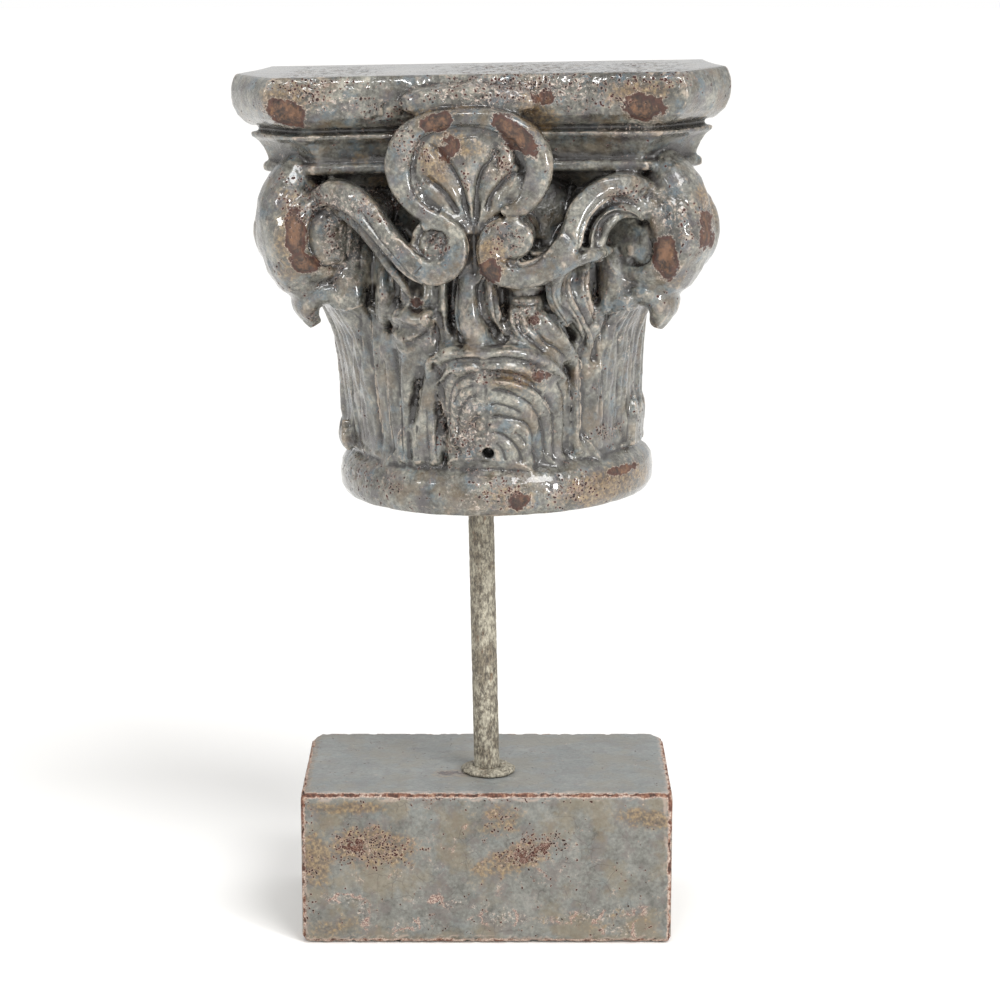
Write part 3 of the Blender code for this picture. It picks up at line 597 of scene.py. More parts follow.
growth = {
    "centreBud": (
        ((-4.0, 130, 9, 5.6, 8), (-4.6, 117, 11, 6.6, 8), (-4.4, 106, 12.6, 7.8, 8.4),
         (-2.8, 97.6, 12.4, 8.2, 8), (0.0, 91, 11, 5.8, 6.4), (2.2, 85.4, 9.6, 1.8, 3.2)),
        ((5.0, 126, 9.4, 3.0, 6), (5.8, 114, 11, 3.6, 6.4), (7.6, 104, 11.6, 3.8, 6),
         (10.6, 96.4, 10.4, 2.8, 4.8), (13.0, 91, 8.4, 1.6, 3.4)),
        ((-16.8, 124, 6, 2.8, 5), (-16.8, 110, 8, 2.8, 5.4), (-16.4, 99, 9, 2.6, 5),
         (-13, 90.4, 9, 2.0, 4)),
        ((-21.8, 122, 3.6, 2.6, 5), (-21.4, 108, 5.4, 2.4, 5), (-19.8, 95, 7, 2.2, 4.4)),
        ((-20, 110, 2, 7, 6), (-21, 94, 5.4, 7.6, 7), (-22.4, 80, 7, 6.6, 7), (-23, 68, 4, 5, 5)),
    ),
    "curledLeaf": (
        ((-34, 66, 0, 8, 7), (-33, 84, 4, 8.6, 8), (-31.5, 97, 8, 8.8, 8), (-31, 108, 5, 8, 7),
         (-30.5, 122, 3, 6.5, 6)),
        ((-41.4, 99, 7.6, 3.2, 5.2), (-38.8, 103.6, 10.4, 4.2, 6), (-34.4, 102.8, 12.4, 4.6, 6.4),
         (-29.4, 101.4, 13.2, 4.6, 6.4), (-24.8, 103.0, 12.4, 4.2, 6), (-21.4, 100.6, 10.4, 3.0, 5)),
        ((-41.4, 94, 7.0, 3.0, 5), (-37.6, 92.2, 9.6, 3.8, 5.6), (-32.6, 93.2, 11, 3.8, 5.6),
         (-27.6, 96.4, 10.6, 3.2, 5), (-24, 98.0, 9.4, 2.4, 4.4)),
        ((-22.4, 100, 10, 2.2, 5), (-24, 91, 8, 2.5, 5), (-27, 81, 5, 2.4, 4.4), (-30, 73, 3, 1.8, 4)),
        ((-41.4, 90, 6, 2.4, 4.6), (-37.6, 85.4, 8, 3.4, 5), (-32.6, 86.8, 9.4, 3.4, 5),
         (-28.6, 91, 9.4, 2.2, 4.4)),
        ((-38.6, 122, 6, 2.4, 4.6), (-38, 114, 7.6, 2.6, 5), (-36.6, 109.6, 9, 2.2, 4.6)),
        ((-25.4, 122, 6, 2.6, 4.6), (-25.6, 113.6, 8, 3.2, 5), (-28.2, 109.6, 10, 2.4, 4.6)),
    ),
    "leftFoot": (
        ((-44, 24, -3, 17, 7), (-43.6, 50, -2, 17, 8), (-42, 76, 0, 15, 8), (-40, 92, 1.4, 12, 7)),
        ((-50.6, 30, 0.8, 3.0, 4), (-52.4, 50, 2.4, 3.2, 4.6), (-54.0, 70, 3.8, 3.3, 5),
         (-55.0, 88, 5, 3.3, 5), (-55.4, 101, 6, 3.0, 5)),
        ((-45.4, 28, 1.2, 2.8, 4), (-46.6, 50, 2.8, 3.0, 4.6), (-48.4, 70, 3.6, 2.8, 4.6),
         (-50.2, 86, 4, 2.0, 4)),
        ((-40, 32, 1.0, 5.4, 5), (-39.2, 52, 2.4, 5.6, 6), (-37, 68, 3.8, 5.6, 6.4),
         (-34.6, 82, 5, 5.4, 6.4)),
        ((-28.6, 34, 1.4, 6.4, 6), (-27.4, 52, 2.8, 6.4, 6.4), (-26, 68, 4.4, 5.4, 6.4),
         (-25, 80, 5.4, 4.4, 6.4)),
    ),
    "leftBud": (
        ((-50.0, 96, 4, 3.4, 4), (-48.2, 105, 8, 5.0, 6), (-47.6, 113, 10, 5.2, 6.6),
         (-47.8, 121, 9, 3.6, 5), (-48, 128, 7, 1.4, 3)),
        ((-59.4, 92, 4, 2.8, 6), (-59.8, 106, 6, 3.4, 6.4), (-60.4, 120, 8, 4.0, 7),
         (-61.5, 138, 10, 5.4, 9)),
        ((-41.2, 100, 5, 2.2, 5), (-41.8, 112, 6.5, 2.4, 5), (-41.5, 124, 7, 2.4, 5)),
    ),
    "toothedLeaf": (
        ((23.2, 119, 5, 9.6, 6), (23.2, 111, 7, 9.6, 6.6), (22.4, 104, 8.4, 8.6, 7),
         (26, 96, 9, 8.8, 7.2), (33, 89.6, 8, 8.6, 7), (40, 83, 5.6, 6.4, 6), (45, 76, 3, 3, 4)),
        ((15.6, 108, 8.4, 2.4, 5), (15.4, 102, 10, 2.5, 5), (18, 95.8, 11, 2.6, 5.2),
         (22.8, 90.6, 10, 2.4, 5), (28, 86, 8, 1.8, 4)),
        ((29.6, 103, 9.6, 2.8, 4.6), (33.4, 98.6, 11.6, 3.6, 5), (37.4, 93.6, 11.6, 3.6, 5),
         (41.6, 87, 9, 2.8, 4.6), (44.6, 80, 6, 2.0, 4)),
        ((14.6, 117.4, 7.6, 1.6, 4), (23, 117.2, 9.4, 1.7, 4), (32, 117, 9, 1.6, 4)),
    ),
    "foldedStem": (
        ((45, 126, 3.4, 9.6, 6), (46, 112, 4.6, 9.8, 7), (49.4, 98, 4.4, 8.6, 7), (53, 84, 2.4, 6.4, 6)),
        ((41.0, 124, 8, 4.4, 6), (40.2, 115.4, 9.6, 4.6, 6.4), (42.2, 108, 10.4, 4.6, 6.4),
         (46.4, 100, 9.6, 4.6, 6.4), (50.2, 91, 7.6, 4.2, 6), (52.2, 78, 5, 3.6, 5.6)),
        ((49.8, 126, 7.6, 3.8, 6), (49.6, 114, 9, 3.8, 6), (51.4, 105.6, 9, 3.6, 6),
         (54.4, 96, 7, 3.2, 5.6), (55.8, 82, 5, 2.6, 5)),
        ((59.4, 88, 4, 3.4, 6), (59.0, 103, 5, 4.2, 6.6), (60.4, 118, 6.4, 4.8, 7.4), (62, 134, 8, 5.6, 8)),
    ),
    "rightFoot": (
        ((51, 24, -3, 16, 7), (51, 50, -2, 16, 8), (52, 76, 0, 13, 8), (55, 94, 2, 9, 7)),
        ((46.0, 28, 1.6, 3.0, 4), (46.0, 50, 3.0, 3.2, 4.6), (46.0, 70, 3.8, 3.1, 5),
         (47, 86, 4.6, 2.4, 4.6)),
        ((54.8, 30, 0.8, 4.0, 4.2), (54.6, 52, 2.4, 4.0, 5), (55.2, 74, 3.6, 3.4, 5),
         (56.4, 92, 4.6, 2.4, 4.6)),
    ),
    "greatBody": (
        ((3, 24, -1, 22, 7), (4, 40, 1.6, 24, 8), (5, 58, 4, 27, 9), (6, 73, 6.6, 28, 9),
         (6, 83, 9.4, 27, 8), (6, 90, 6, 24, 7), (6, 104, 1, 17, 7)),
        ((30, 24, -2.4, 12, 6), (31, 44, 0, 12.6, 7), (31, 62, 1.6, 12.6, 8), (28, 77, 5, 11, 8)),
    ),
    "lip": (
        ((-25.6, 73, 10.6, 2.8, 5), (-23.4, 80.6, 13.6, 3.4, 5.2), (-15, 85.4, 16.4, 3.8, 5.4),
         (-5, 86.0, 17.6, 3.6, 5.4), (4, 85.4, 17, 3.3, 5.2), (14, 86.2, 17.6, 3.7, 5.4),
         (25, 83.8, 16, 3.7, 5.2), (34, 77.4, 12, 3.3, 5), (39.6, 69, 8, 2.4, 4.4)),
        ((2.6, 78.6, 15.4, 3.0, 4.6), (12, 79.2, 16, 3.2, 4.8), (22, 76.8, 14.6, 3.2, 4.8),
         (31, 70.4, 11, 2.7, 4.4)),
        ((1.6, 78.4, 15.4, 2.8, 4.6), (-8, 78.6, 15.4, 3.2, 4.8), (-16.6, 75.4, 13.6, 3.0, 4.8),
         (-21.4, 68.4, 9.6, 2.4, 4.4)),
        ((4, 71.4, 13.4, 2.4, 4.4), (13, 70.6, 13.4, 2.8, 4.8), (21, 67.4, 11.8, 2.8, 4.8),
         (28.4, 61.6, 9.4, 2.6, 4.6), (33, 52, 7.4, 2.4, 4.4)),
    ),
    "curl": (
        ((-11.6, 42.6, 9, 1.7, 3.4), (-14.4, 41.4, 10, 1.7, 3.4), (-15.2, 38.4, 9, 1.6, 3.2),
         (-13.0, 36.6, 8.4, 1.5, 3)),
    ),
}


def addGrowth(bag):
    for name, strokes in growth.items():
        body = name in ("greatBody", "leftFoot", "rightFoot")
        sink = 0.0 if body or name == "centreBud" else 3.0
        for knots in strokes:
            bellStroke(bag, knots, 5 * len(knots), 2.5 if body else 2.0, sink)
    # Scalloped feet of the flutes, left of the great leaf
    for x, top in ((-41, 45), (-33.2, 54), (-25, 66)):
        foot = ((x, 24.4, -1.0, 3.2, 3.4), (x, 30, 3.4, 4.2, 4.4), (x + 0.3, 42, 4.0, 4.1, 4.6))
        bellStroke(bag, (*foot, (x + 0.8, top, 1.4, 3, 4)))


# Corner leaves: fluted bodies that climb the bell and hang their tips over, and plainer ones behind them

corners = {
    "left": {"side": -1, "angle": 59.5, "top": 118.5, "hang": 23.5, "swell": 4.6, "tip": 5.0, "low": 40},
    "right": {"side": 1, "angle": 58.5, "top": 116.5, "hang": 24.0, "swell": 3.0, "tip": 7.0, "low": 52},
    "ribs": 5, "middle": 59, "spread": 18,
}


def addCornerLeaf(bag, leaf):
    side, angle, top, swell, tip = (leaf[key] for key in ("side", "angle", "top", "swell", "tip"))
    for spread in np.linspace(-1, 1, corners["ribs"]):
        drop = 6 * spread * spread
        grow = swell * (0.5 + 0.5 * spread)  # the ribs towards the front stay on the bell
        roundStroke(bag, (
            (side * (angle + 18 * spread), 25, -2.4 + 0.4 * grow, 5.6, 4.0),
            (side * (angle + 17 * spread), 50, -1.6 + 0.9 * grow, 5.6, 4.4),
            (side * (angle + 15.5 * spread), 78, 0.2 + grow, 5.4, 4.8),
            (side * (angle + 13.5 * spread), top - 14 - drop * 0.5, 7.4 + grow, 5.0, 4.8),
            (side * (angle + 11 * spread), top - 4 - drop, 17.4 + tip * 0.7 - 3 * abs(spread), 4.2, 4.8),
            (side * (angle + 8.5 * spread), top - 5 - drop, 25 + tip - 6 * abs(spread), 4.0, 4.4),
        ), steps=20, curls=True)
    turned = side * angle
    body = (
        (turned, 26, -3, 24, 5.6), (turned, 60, -2.6 + 0.5 * swell, 22, 6.8),
        (turned, 90, 0.4 + 0.6 * swell, 19, 8), (turned, 106, 7.4 + 0.8 * swell, 15, 8.6),
        (turned, 113, 18 + tip * 0.8, 10, 5),
    )
    roundStroke(bag, body, steps=12, square=2.6, curls=True)
    # The lip, one broad tongue that narrows to its hanging tip
    roundStroke(bag, (
        (turned, top - 13, 6 + 0.5 * tip, 17, 6), (turned, top - 7, 14 + 0.7 * tip, 16.5, 7),
        (turned, top - 6.5, 22 + tip, 15, 7), (turned, top - 10, 26.5 + tip, 12.5, 6.6),
        (turned, top - leaf["hang"] * 0.68, 26 + tip, 9, 5.6),
        (turned, top - leaf["hang"], 22.5 + tip, 3.2, 3.4),
    ), steps=22, square=2.3, curls=True)


def addSideLeaf(bag, leaf):
    side, swell, low = leaf["side"], leaf["swell"], leaf["low"]
    for k in range(4):
        a = side * (80.5 + 6.5 * k)
        roundStroke(bag, (
            (a, 26, -1 + 0.5 * swell, 4.4, 5), (a, 44, swell, 4.4, 5), (a, 62, swell, 4.2, 5),
            (a, 92, 1.6 + swell, 4.0, 5), (a, 112 - 2 * k, 8 + 0.6 * swell, 4.0, 5),
            (a, 107 - 2 * k, 13, 2.6, 3),
        ), curls=True)
        # A small toothed leaf in front of its foot
        foot = side * (74 + 7 * k)
        for lean, top in ((-2.2, low - 3), (0, low), (2.2, low - 4)):
            spot = foot + lean
            tooth = ((spot, 26, 4.6, 2.0, 3.4), (spot, low - 10, 3.4 + swell, 2.2, 3.4))
            roundStroke(bag, (*tooth, (foot + 0.6 * lean, top - k, 2.4 + swell, 1.2, 3)))
    back = side * 88
    behind = ((back, 110, 0, 9, 6), (back, 130, 0, 7, 6), (back, 150, 1, 9, 6), (back, 174, 9, 8, 6))
    roundStroke(bag, behind, steps=8)


# Lines pressed into the clay, a few raised by a depth below 0: width, depth, then x, z along the line

lines = {
    "fleuron": (
        (1.0, 3.4, ((-22.4, 191), (-16, 184), (-10.5, 176), (-6.5, 166), (-5, 158), (-2.5, 149))),
        (1.1, 3.6, ((9.8, 188), (8.5, 182.5), (4, 176.5), (1.5, 167), (0.5, 157.5), (0, 149))),
        (0.8, 1.3, ((10.8, 191), (10.8, 182), (10.5, 173))),
        (1.1, 3.6, ((22, 182), (22, 177), (17.5, 174), (12.5, 169), (7.5, 162.5), (6, 155.5))),
        (1.0, 2.8, ((-25, 174), (-15.5, 166), (-13, 162.5), (-8, 155))),
        (1.3, 2.4, ((-28, 166), (-22, 161.5), (-16, 157.6))),
        (1.0, 2.2, ((-29.6, 182), (-29.8, 171), (-27.4, 165), (-19, 159))),
        (0.9, 1.6, ((-29.4, 180), (-26.4, 190), (-19, 196.2), (-5, 198), (9, 196.8), (17, 191.5))),
        (1.1, 3.6, ((16, 192), (20.6, 186), (22, 176), (19.8, 166), (14.5, 160))),
        (0.9, -0.8, ((-4.5, 186), (-3.5, 172), (-2.4, 160))),
    ),
    "scrolls": (
        (1.3, 1.8, ((-1.4, 152), (-1.2, 138), (-1.2, 124))),
        (1.2, 1.8, ((-17.4, 145.5), (-16.4, 142), (-17, 138), (-20, 136.4))),
        (0.8, -1.5, ((-42.5, 145), (-37.5, 143), (-34, 139.5), (-30, 136.5), (-26, 131.5))),
        (0.6, 1.4, ((-26.4, 131), (-28.6, 128.6), (-30.5, 126.2))),
        (1.2, 2.6, ((-59, 160), (-52.5, 150.6), (-48, 143.8), (-42.5, 136.6), (-37.5, 130.8),
          (-32.5, 125), (-27, 121.4))),
        (1.2, 3.6, ((30.6, 140), (29.6, 135.4), (26.4, 132.8), (20, 131.2), (14.5, 132.0))),
        (0.9, 1.6, ((3.6, 144), (6.5, 150.4), (13, 154.4), (22, 153.8), (29, 149.2), (31, 142))),
        (0.8, -1.0, ((32.5, 134.5), (35, 136.5), (40.5, 142.5), (43, 145.6))),
        (0.6, 1.2, ((43.5, 146.2), (46.5, 143.4), (49.5, 140.2))),
        (1.2, 3.2, ((51.8, 134), (53.0, 145.5), (56.0, 152), (60.4, 157.4), (66.5, 159.6), (74, 158.6),
          (80, 155.6))),
        (1.1, 3.0, ((60, 139), (61.0, 146.6), (64.6, 150.8), (70, 152.4), (76.5, 149.6), (80.6, 145))),
        (0.9, -1.0, ((43.6, 152), (46.2, 159.4), (51, 165.6), (58, 169.6), (66, 170.8))),
    ),
    "volutes": (
        (1.4, 5.4, ((-72, 156.8), (-79.4, 154.4), (-83.2, 147.4), (-83.8, 138.5), (-81.0, 130.6),
          (-76, 126.4), (-69, 125.4))),
        (0.8, 1.4, ((-67.4, 157), (-66.2, 144), (-67, 129))),
        (0.8, 1.2, ((-61.6, 160), (-60.6, 144), (-61, 122))),
        (0.9, -1.6, ((-81.6, 129.6), (-85.8, 138.5), (-85.2, 148.4), (-81.0, 156.6), (-74, 160))),
        (0.9, -0.9, ((63, 129), (65.5, 123), (70, 118.5), (76, 116), (81, 115.5))),
        (1.0, 2.2, ((74, 128.6), (77, 126.2), (82, 127.4), (84.4, 133), (83.6, 140))),
    ),
    "leaves": (
        (1.0, 2.8, ((1.4, 121), (1.6, 113), (3.2, 105), (6.6, 98), (8.6, 92))),
        (1.3, 3.2, ((-12.6, 122), (-13.2, 108), (-12.6, 98), (-8.4, 89))),
        (1.5, 4.2, ((-22, 107), (-21.4, 98), (-22.4, 90), (-24.4, 82))),
        (1.6, 3.6, ((11.6, 118), (11.4, 104), (11.8, 95), (14.4, 91.6))),
        (1.3, 2.4, ((-36, 109.8), (-32.5, 107.9), (-29.6, 109.4))),
        (1.0, 1.8, ((-41, 97.6), (-36.5, 97.4), (-32, 97.8), (-28, 100))),
        (1.0, 1.8, ((-39, 88.4), (-34.6, 89.4), (-30, 91.8), (-25, 95.4))),
        (1.2, 3.0, ((-30.5, 78), (-31.6, 70), (-34.6, 58), (-38, 45))),
        (1.1, 3.0, ((-52.0, 80), (-50.2, 56), (-48.0, 28))),
        (1.3, 3.4, ((-46.0, 86), (-44.4, 62), (-42.2, 28))),
        (1.0, 1.8, ((-34.6, 47), (-34.2, 36), (-33.8, 27))),
        (0.9, 1.6, ((-28.6, 56), (-28.8, 40), (-28.5, 27))),
        (0.8, 1.2, ((-38.8, 43), (-39, 34), (-39, 27))),
        (1.2, 2.8, ((-41.8, 124), (-42.2, 112), (-42.8, 102))),
        (1.5, 4.2, ((-55.6, 118), (-56.6, 104), (-58.4, 88), (-58.0, 70), (-56.2, 50), (-54, 30))),
        (1.2, 3.2, ((24.6, 105), (25.5, 98.5), (29.5, 94), (33.5, 88.5), (39, 84.6), (43, 78))),
        (1.0, 2.4, ((19.6, 104.6), (20, 98.6), (23.6, 93), (29, 88.6), (34, 84))),
        (0.8, 1.5, ((14.5, 113.6), (23, 113.6), (33, 113.4))),
        (0.7, 1.2, ((15, 109.4), (23, 109.3), (31.6, 109))),
        (1.1, 2.8, ((34.4, 122), (34.2, 116.5), (35.2, 110.4), (38, 105.0), (41.6, 99.6), (45.6, 93),
          (48.2, 86), (49.6, 78))),
        (1.2, 3.4, ((45.4, 123), (44.6, 115), (46.3, 107.8), (49.8, 101.5), (52.6, 93), (54, 84))),
        (0.8, 1.6, ((40.4, 121), (39.6, 115), (41.2, 109), (45, 102), (48.4, 94))),
        (1.4, 3.6, ((54.0, 124), (54.2, 114), (56.0, 103), (57.8, 94))),
        (1.3, 3.8, ((65.5, 101), (63, 93), (60, 88), (57.4, 81.5), (55.4, 73.5))),
        (1.2, 3.8, ((50.9, 95), (50.5, 70), (50.3, 50), (49.8, 33))),
        (1.2, 3.2, ((38, 68.6), (41.5, 61), (42.5, 51.5), (41.6, 39.5), (41.2, 27))),
        (0.8, 1.2, ((59.6, 72), (59.2, 52), (58.8, 40))),
        (0.9, 1.4, ((66, 106), (64.6, 100), (64, 92))),
        (0.8, 1.2, ((-62, 104), (-64, 84), (-66.6, 58), (-68, 34))),
        (0.8, 1.0, ((-68, 92), (-70.6, 66), (-72, 42))),
        (0.8, 1.2, ((68.6, 96), (67.6, 70), (66.8, 36))),
        (0.7, 0.9, ((73.6, 90), (74, 66), (73.6, 40))),
    ),
    "greatLeaf": (
        (0.9, 2.6, ((3.6, 73.6), (11.5, 74), (20.5, 71.4), (27.4, 66.4), (32.6, 59.6), (35.4, 49),
          (35.4, 38), (35, 27))),
        (0.9, 2.6, ((3.5, 66.6), (11.5, 65.4), (18, 62.6), (24.4, 58), (28.8, 51), (30.4, 42), (30.4, 27))),
        (0.9, 2.4, ((4.2, 58.4), (9, 58.6), (15, 56.4), (20.6, 53.4))),
        (1.0, 2.8, ((3.5, 51.6), (10, 51.8), (17.5, 50), (23, 46.6), (25.8, 40), (26.2, 27))),
        (0.9, 2.6, ((4, 44), (9.4, 42.6), (14.6, 38.6), (18, 33.4), (19.4, 27))),
        (0.8, 1.8, ((15.6, 43.6), (19.4, 41), (22, 36.6))),
        (0.8, 1.8, ((6.4, 38.4), (9.6, 34.6), (11.4, 28))),
        (0.9, 1.6, ((3.0, 82.4), (13, 83.0), (23, 80.6), (31.6, 74.6))),
        (0.9, 1.6, ((2.4, 75.0), (12, 75.2), (21.6, 72.4), (29.6, 66.4))),
        (1.0, 2.2, ((1.6, 82.2), (-8, 82.4), (-17, 79.8), (-22.4, 73))),
        (1.1, 2.8, ((-1, 74.6), (-9.6, 72), (-15.6, 64.6), (-17.6, 52), (-17.6, 36))),
        (1.1, 2.8, ((-1.0, 64.0), (-7.6, 60.6), (-12, 52), (-12.6, 40), (-12, 29))),
        (1.1, 2.6, ((-0.2, 53), (-5.4, 48.6), (-7.6, 40), (-7, 30))),
        (1.2, 2.6, ((-24, 82), (-22, 70), (-21.4, 57), (-22.6, 44), (-23, 27))),
        (0.8, 1.4, ((2.4, 79), (2.6, 60), (2.4, 42))),
        (1.0, 2.0, ((-13, 76.5), (-19, 68), (-20.6, 54), (-20.4, 40))),
        (0.9, 1.8, ((-3, 69), (-10, 66.4), (-14.6, 59))),
        (0.9, 1.8, ((-2.4, 46), (-4.6, 40), (-4.2, 32))),
    ),
}


def pressLines(points, normals):  # moves the points that face forward and lie near a line
    moved = points.copy()
    flat = points[:, (0, 2)]
    facing = smoothStep(0.05, 0.45, -normals[:, 1]) * (points[:, 1] < -30)
    ends = carving["lineEnds"]
    for width, depth, route in (line for group in lines.values() for line in group):
        path = np.array([between(route, t) for t in np.linspace(0, 1, 8 * len(route))])
        reach = carving["lineReach"] * width
        low, high = path.min(axis=0) - reach, path.max(axis=0) + reach
        near = np.flatnonzero((facing > 0) & np.all((flat > low) & (flat < high), axis=1))
        spots = flat[near]
        nearest = np.full(len(near), 1e9)
        place = np.zeros(len(near))
        for i in range(len(path) - 1):
            step = path[i + 1] - path[i]
            t = np.clip((spots - path[i]) @ step / max(step @ step, 1e-9), 0, 1)
            gap = np.linalg.norm(spots - path[i] - t[:, None] * step, axis=1)
            closer = gap < nearest
            nearest[closer] = gap[closer]
            place[closer] = (i + t[closer]) / (len(path) - 1)
        taper = smoothStep(0, ends, place) * smoothStep(0, ends, 1 - place) * 0.8 + 0.2
        section = 0.6 * np.exp(-nearest / width) + 0.3 * np.exp(-(nearest / (2.4 * width)) ** 2)
        press = depth * taper * section * facing[near]
        moved[near] -= normals[near] * press[:, None]
    return moved


def fillHollows(mesh):  # leaves and palmette are shallow carving: their gaps are raised towards the ridges
    points, normals = meshArrays(mesh)
    gap = hollowness(mesh, points, normals, carving["fillRounds"])
    leaves = plateau(points[:, 2], *carving["leaves"])
    petals = smoothStep(1.0, 0.9, ovalShare(points, 2, carving["palmette"])) * (points[:, 1] < -84)
    raised = np.clip(gap - 0.2, 0, 5) * carving["fill"] * np.maximum(leaves, petals)
    raised = smoothed(mesh, raised[:, None], 8)
    outward = smoothed(mesh, normals, 20)
    outward /= np.maximum(np.linalg.norm(outward, axis=1, keepdims=True), 1e-6)
    setPoints(mesh, points + outward * raised)


# Where the glaze is worn or marked, from the front: x, z, half width, half height, tilt, strength

marks = {
    "bare": (
        (-93, 205, 12, 7.5, -20, 1.0), (82, 205, 12, 8, 0, 1.0), (34, 210.5, 7, 4.6, 0, 0.8),
        (-18, 200.5, 10, 5, 15, 1.0), (20, 194, 15, 6.5, -42, 1.0), (-11.5, 187, 7, 8.5, 10, 0.75),
        (-91.5, 145, 5.2, 15, 4, 1.1), (-88, 129.5, 8, 5.6, -38, 1.1), (92.5, 130, 6.6, 12.5, 4, 1.15),
        (112.5, 143, 4.5, 13, 0, 0.8), (7.2, 127.5, 6, 7.5, -20, 1.0), (17, 9.5, 7, 5.5, 0, 0.85),
        (68, 17, 9, 3, 0, 0.85), (30, 73, 6, 5, 0, 0.6), (-31, 110, 4, 3.5, 0, 0.75),
        (27, 101.5, 4, 3.5, -30, 0.7), (-57, 212, 7, 2.2, 5, 0.5),
    ),
    "ochre": (
        (-92, 211, 17, 9, 0, 0.8), (80, 212, 18, 7, 0, 0.8), (-20, 179, 7, 9, 20, 1.1),
        (-10, 188, 14, 9, 0, 0.8), (30, 202, 14, 7, -40, 0.8), (-94, 146, 10, 25, -5, 0.7),
        (8, 134, 9, 12, 0, 0.9), (60, 11, 26, 9, 4, 0.95), (15, 10, 16, 8, 0, 0.6),
        (20, 72, 16, 8, 0, 0.6), (-20, 205, 30, 4, 0, 0.5), (113, 160, 6, 16, 0, 0.7),
        (-50, 165, 10, 6, -30, 0.5), (-57, 180, 10, 8, 0, 0.3), (98, 119, 8, 6, 0, 0.4),
    ),
    "pitted": (
        (20, 217, 46, 6.5, 0, 1.0), (82, 217, 26, 6, 0, 0.9), (-83, 214, 13, 8, -20, 0.9),
        (-70, 219, 26, 3.5, 0, 0.8), (-33, 192, 8, 11, 20, 1.0), (14, 180, 6, 10, 0, 1.0),
        (-3.5, 172, 3, 8, 0, 0.8), (59, 208, 20, 6, 0, 0.7), (74, 162, 9, 6, 0, 1.0),
        (-74, 141, 4, 9, 0, 1.0), (-84, 158, 14, 9, 30, 0.7), (16, 144, 12, 10, 0, 0.7),
        (-50, 158, 12, 7, -45, 0.6), (-20, 141, 7, 7, 0, 0.9), (6, 15, 14, 8, 0, 0.8),
        (44, 12, 16, 9, 0, 0.8), (60, 37, 12, 4, 0, 0.9), (-10, 40, 14, 16, 0, 0.6),
        (26, 103, 10, 7, -40, 0.8), (104, 146, 8, 12, 0, 0.6), (-60, 14, 26, 10, 0, 0.5),
        (57, 103, 3, 7, 0, 0.8), (-24, 182, 4, 6, 0, 0.7), (-45, 205, 14, 7, 0, 0.7),
        (-95, 168, 10, 10, 0, 0.5), (88, 60, 12, 30, 0, 0.5), (-88, 70, 12, 30, 0, 0.6),
        (10, 74, 26, 6, 0, 0.5), (-100, 128, 8, 10, 0, 0.5),
    ),
    # dark: darker stains, and painted shade in the drilled hole and the left volute's groove, added to the
    # hollow darkening
    "dark": (
        (-20, 141, 7.4, 7.4, 0, 0.5), (2.5, 33, 4.4, 4.4, 0, 0.9), (66, 143, 9, 10, 0, 0.3),
        (-84, 141, 3, 12, 0, 0.4),
    ),
    "crusted": (
        (-8, 52, 14, 22, 0, 1.0), (20, 216, 60, 6, 0, 0.6), (94, 154, 9, 9, 30, 0.8),
        (-20, 141, 9, 9, 0, 1.2), (-78, 158, 14, 6, 20, 0.6), (-36, 192, 8, 10, 0, 0.6),
        (26, 103, 8, 5, -40, 0.9), (30, 75, 10, 5, 0, 0.8), (6, 14, 18, 7, 0, 0.5),
        (-85, 213, 12, 6, 0, 0.6), (-46, 146, 9, 4, -40, 0.6),
    ),
    "crazed": (
        (20, 214, 60, 8, 0, 0.9), (-80, 210, 30, 10, 0, 0.8), (-70, 135, 12, 22, 0, 0.9),
        (-66, 160, 22, 8, 0, 0.8), (-44, 144, 9, 5, -40, 0.7), (-8, 50, 15, 22, 0, 0.8),
        (-2, 76, 22, 6, 0, 0.7), (94, 153, 11, 12, 30, 0.9), (-34, 190, 10, 14, 0, 0.6),
        (12, 182, 10, 12, 0, 0.7), (20, 101, 12, 10, -40, 0.8), (4, 12, 24, 10, 0, 0.7),
        (-28, 96, 10, 12, 0, 0.5), (72, 95, 10, 30, 0, 0.5), (80, 194, 26, 5, 10, 0.7),
        (-20, 126, 14, 6, 0, 0.5),
    ),
}


def markField(points, spots):  # the strongest mark at each point, 1 in its middle, 0 at 1.6 half widths
    field = np.zeros(len(points))
    front = smoothStep(5, -25, points[:, 1])
    for x, z, wide, high, tilt, strength in spots:
        a = math.radians(tilt)
        dx, dz = points[:, 0] - x, points[:, 2] - z
        across = (dx * math.cos(a) + dz * math.sin(a)) / wide
        along = (dz * math.cos(a) - dx * math.sin(a)) / high
        field = np.maximum(field, strength * (1 - smoothStep(0.2, 1.6, np.hypot(across, along))))
    return field * front


# Build the capital

def capitalPlace():  # from millimetres about the capital's own axis to the frame
    up, back = Vector(mounts["top"]["axis"]), Vector(mounts["back"]["axis"])
    turned = Matrix((back.cross(up), back, up)).transposed()
    onTop = turned @ Vector(carving["topMount"])
    origin = Vector([a - b for a, b in zip(mounts["top"]["pos_m"], onTop)])
    return Matrix.Translation(origin) @ turned.to_4x4() @ Matrix.Scale(0.001, 4)


def layUpCapital():
    bag = bmesh.new()
    addBell(bag)
    addAbacus(bag)
    addVolute(bag, volutes["left"])
    addVolute(bag, volutes["right"])
    addScrolls(bag)
    addFleuron(bag)
    addGrowth(bag)
    for name in ("left", "right"):
        addCornerLeaf(bag, corners[name])
        addSideLeaf(bag, corners[name])
    return objectFrom(bag, "capital_carved")


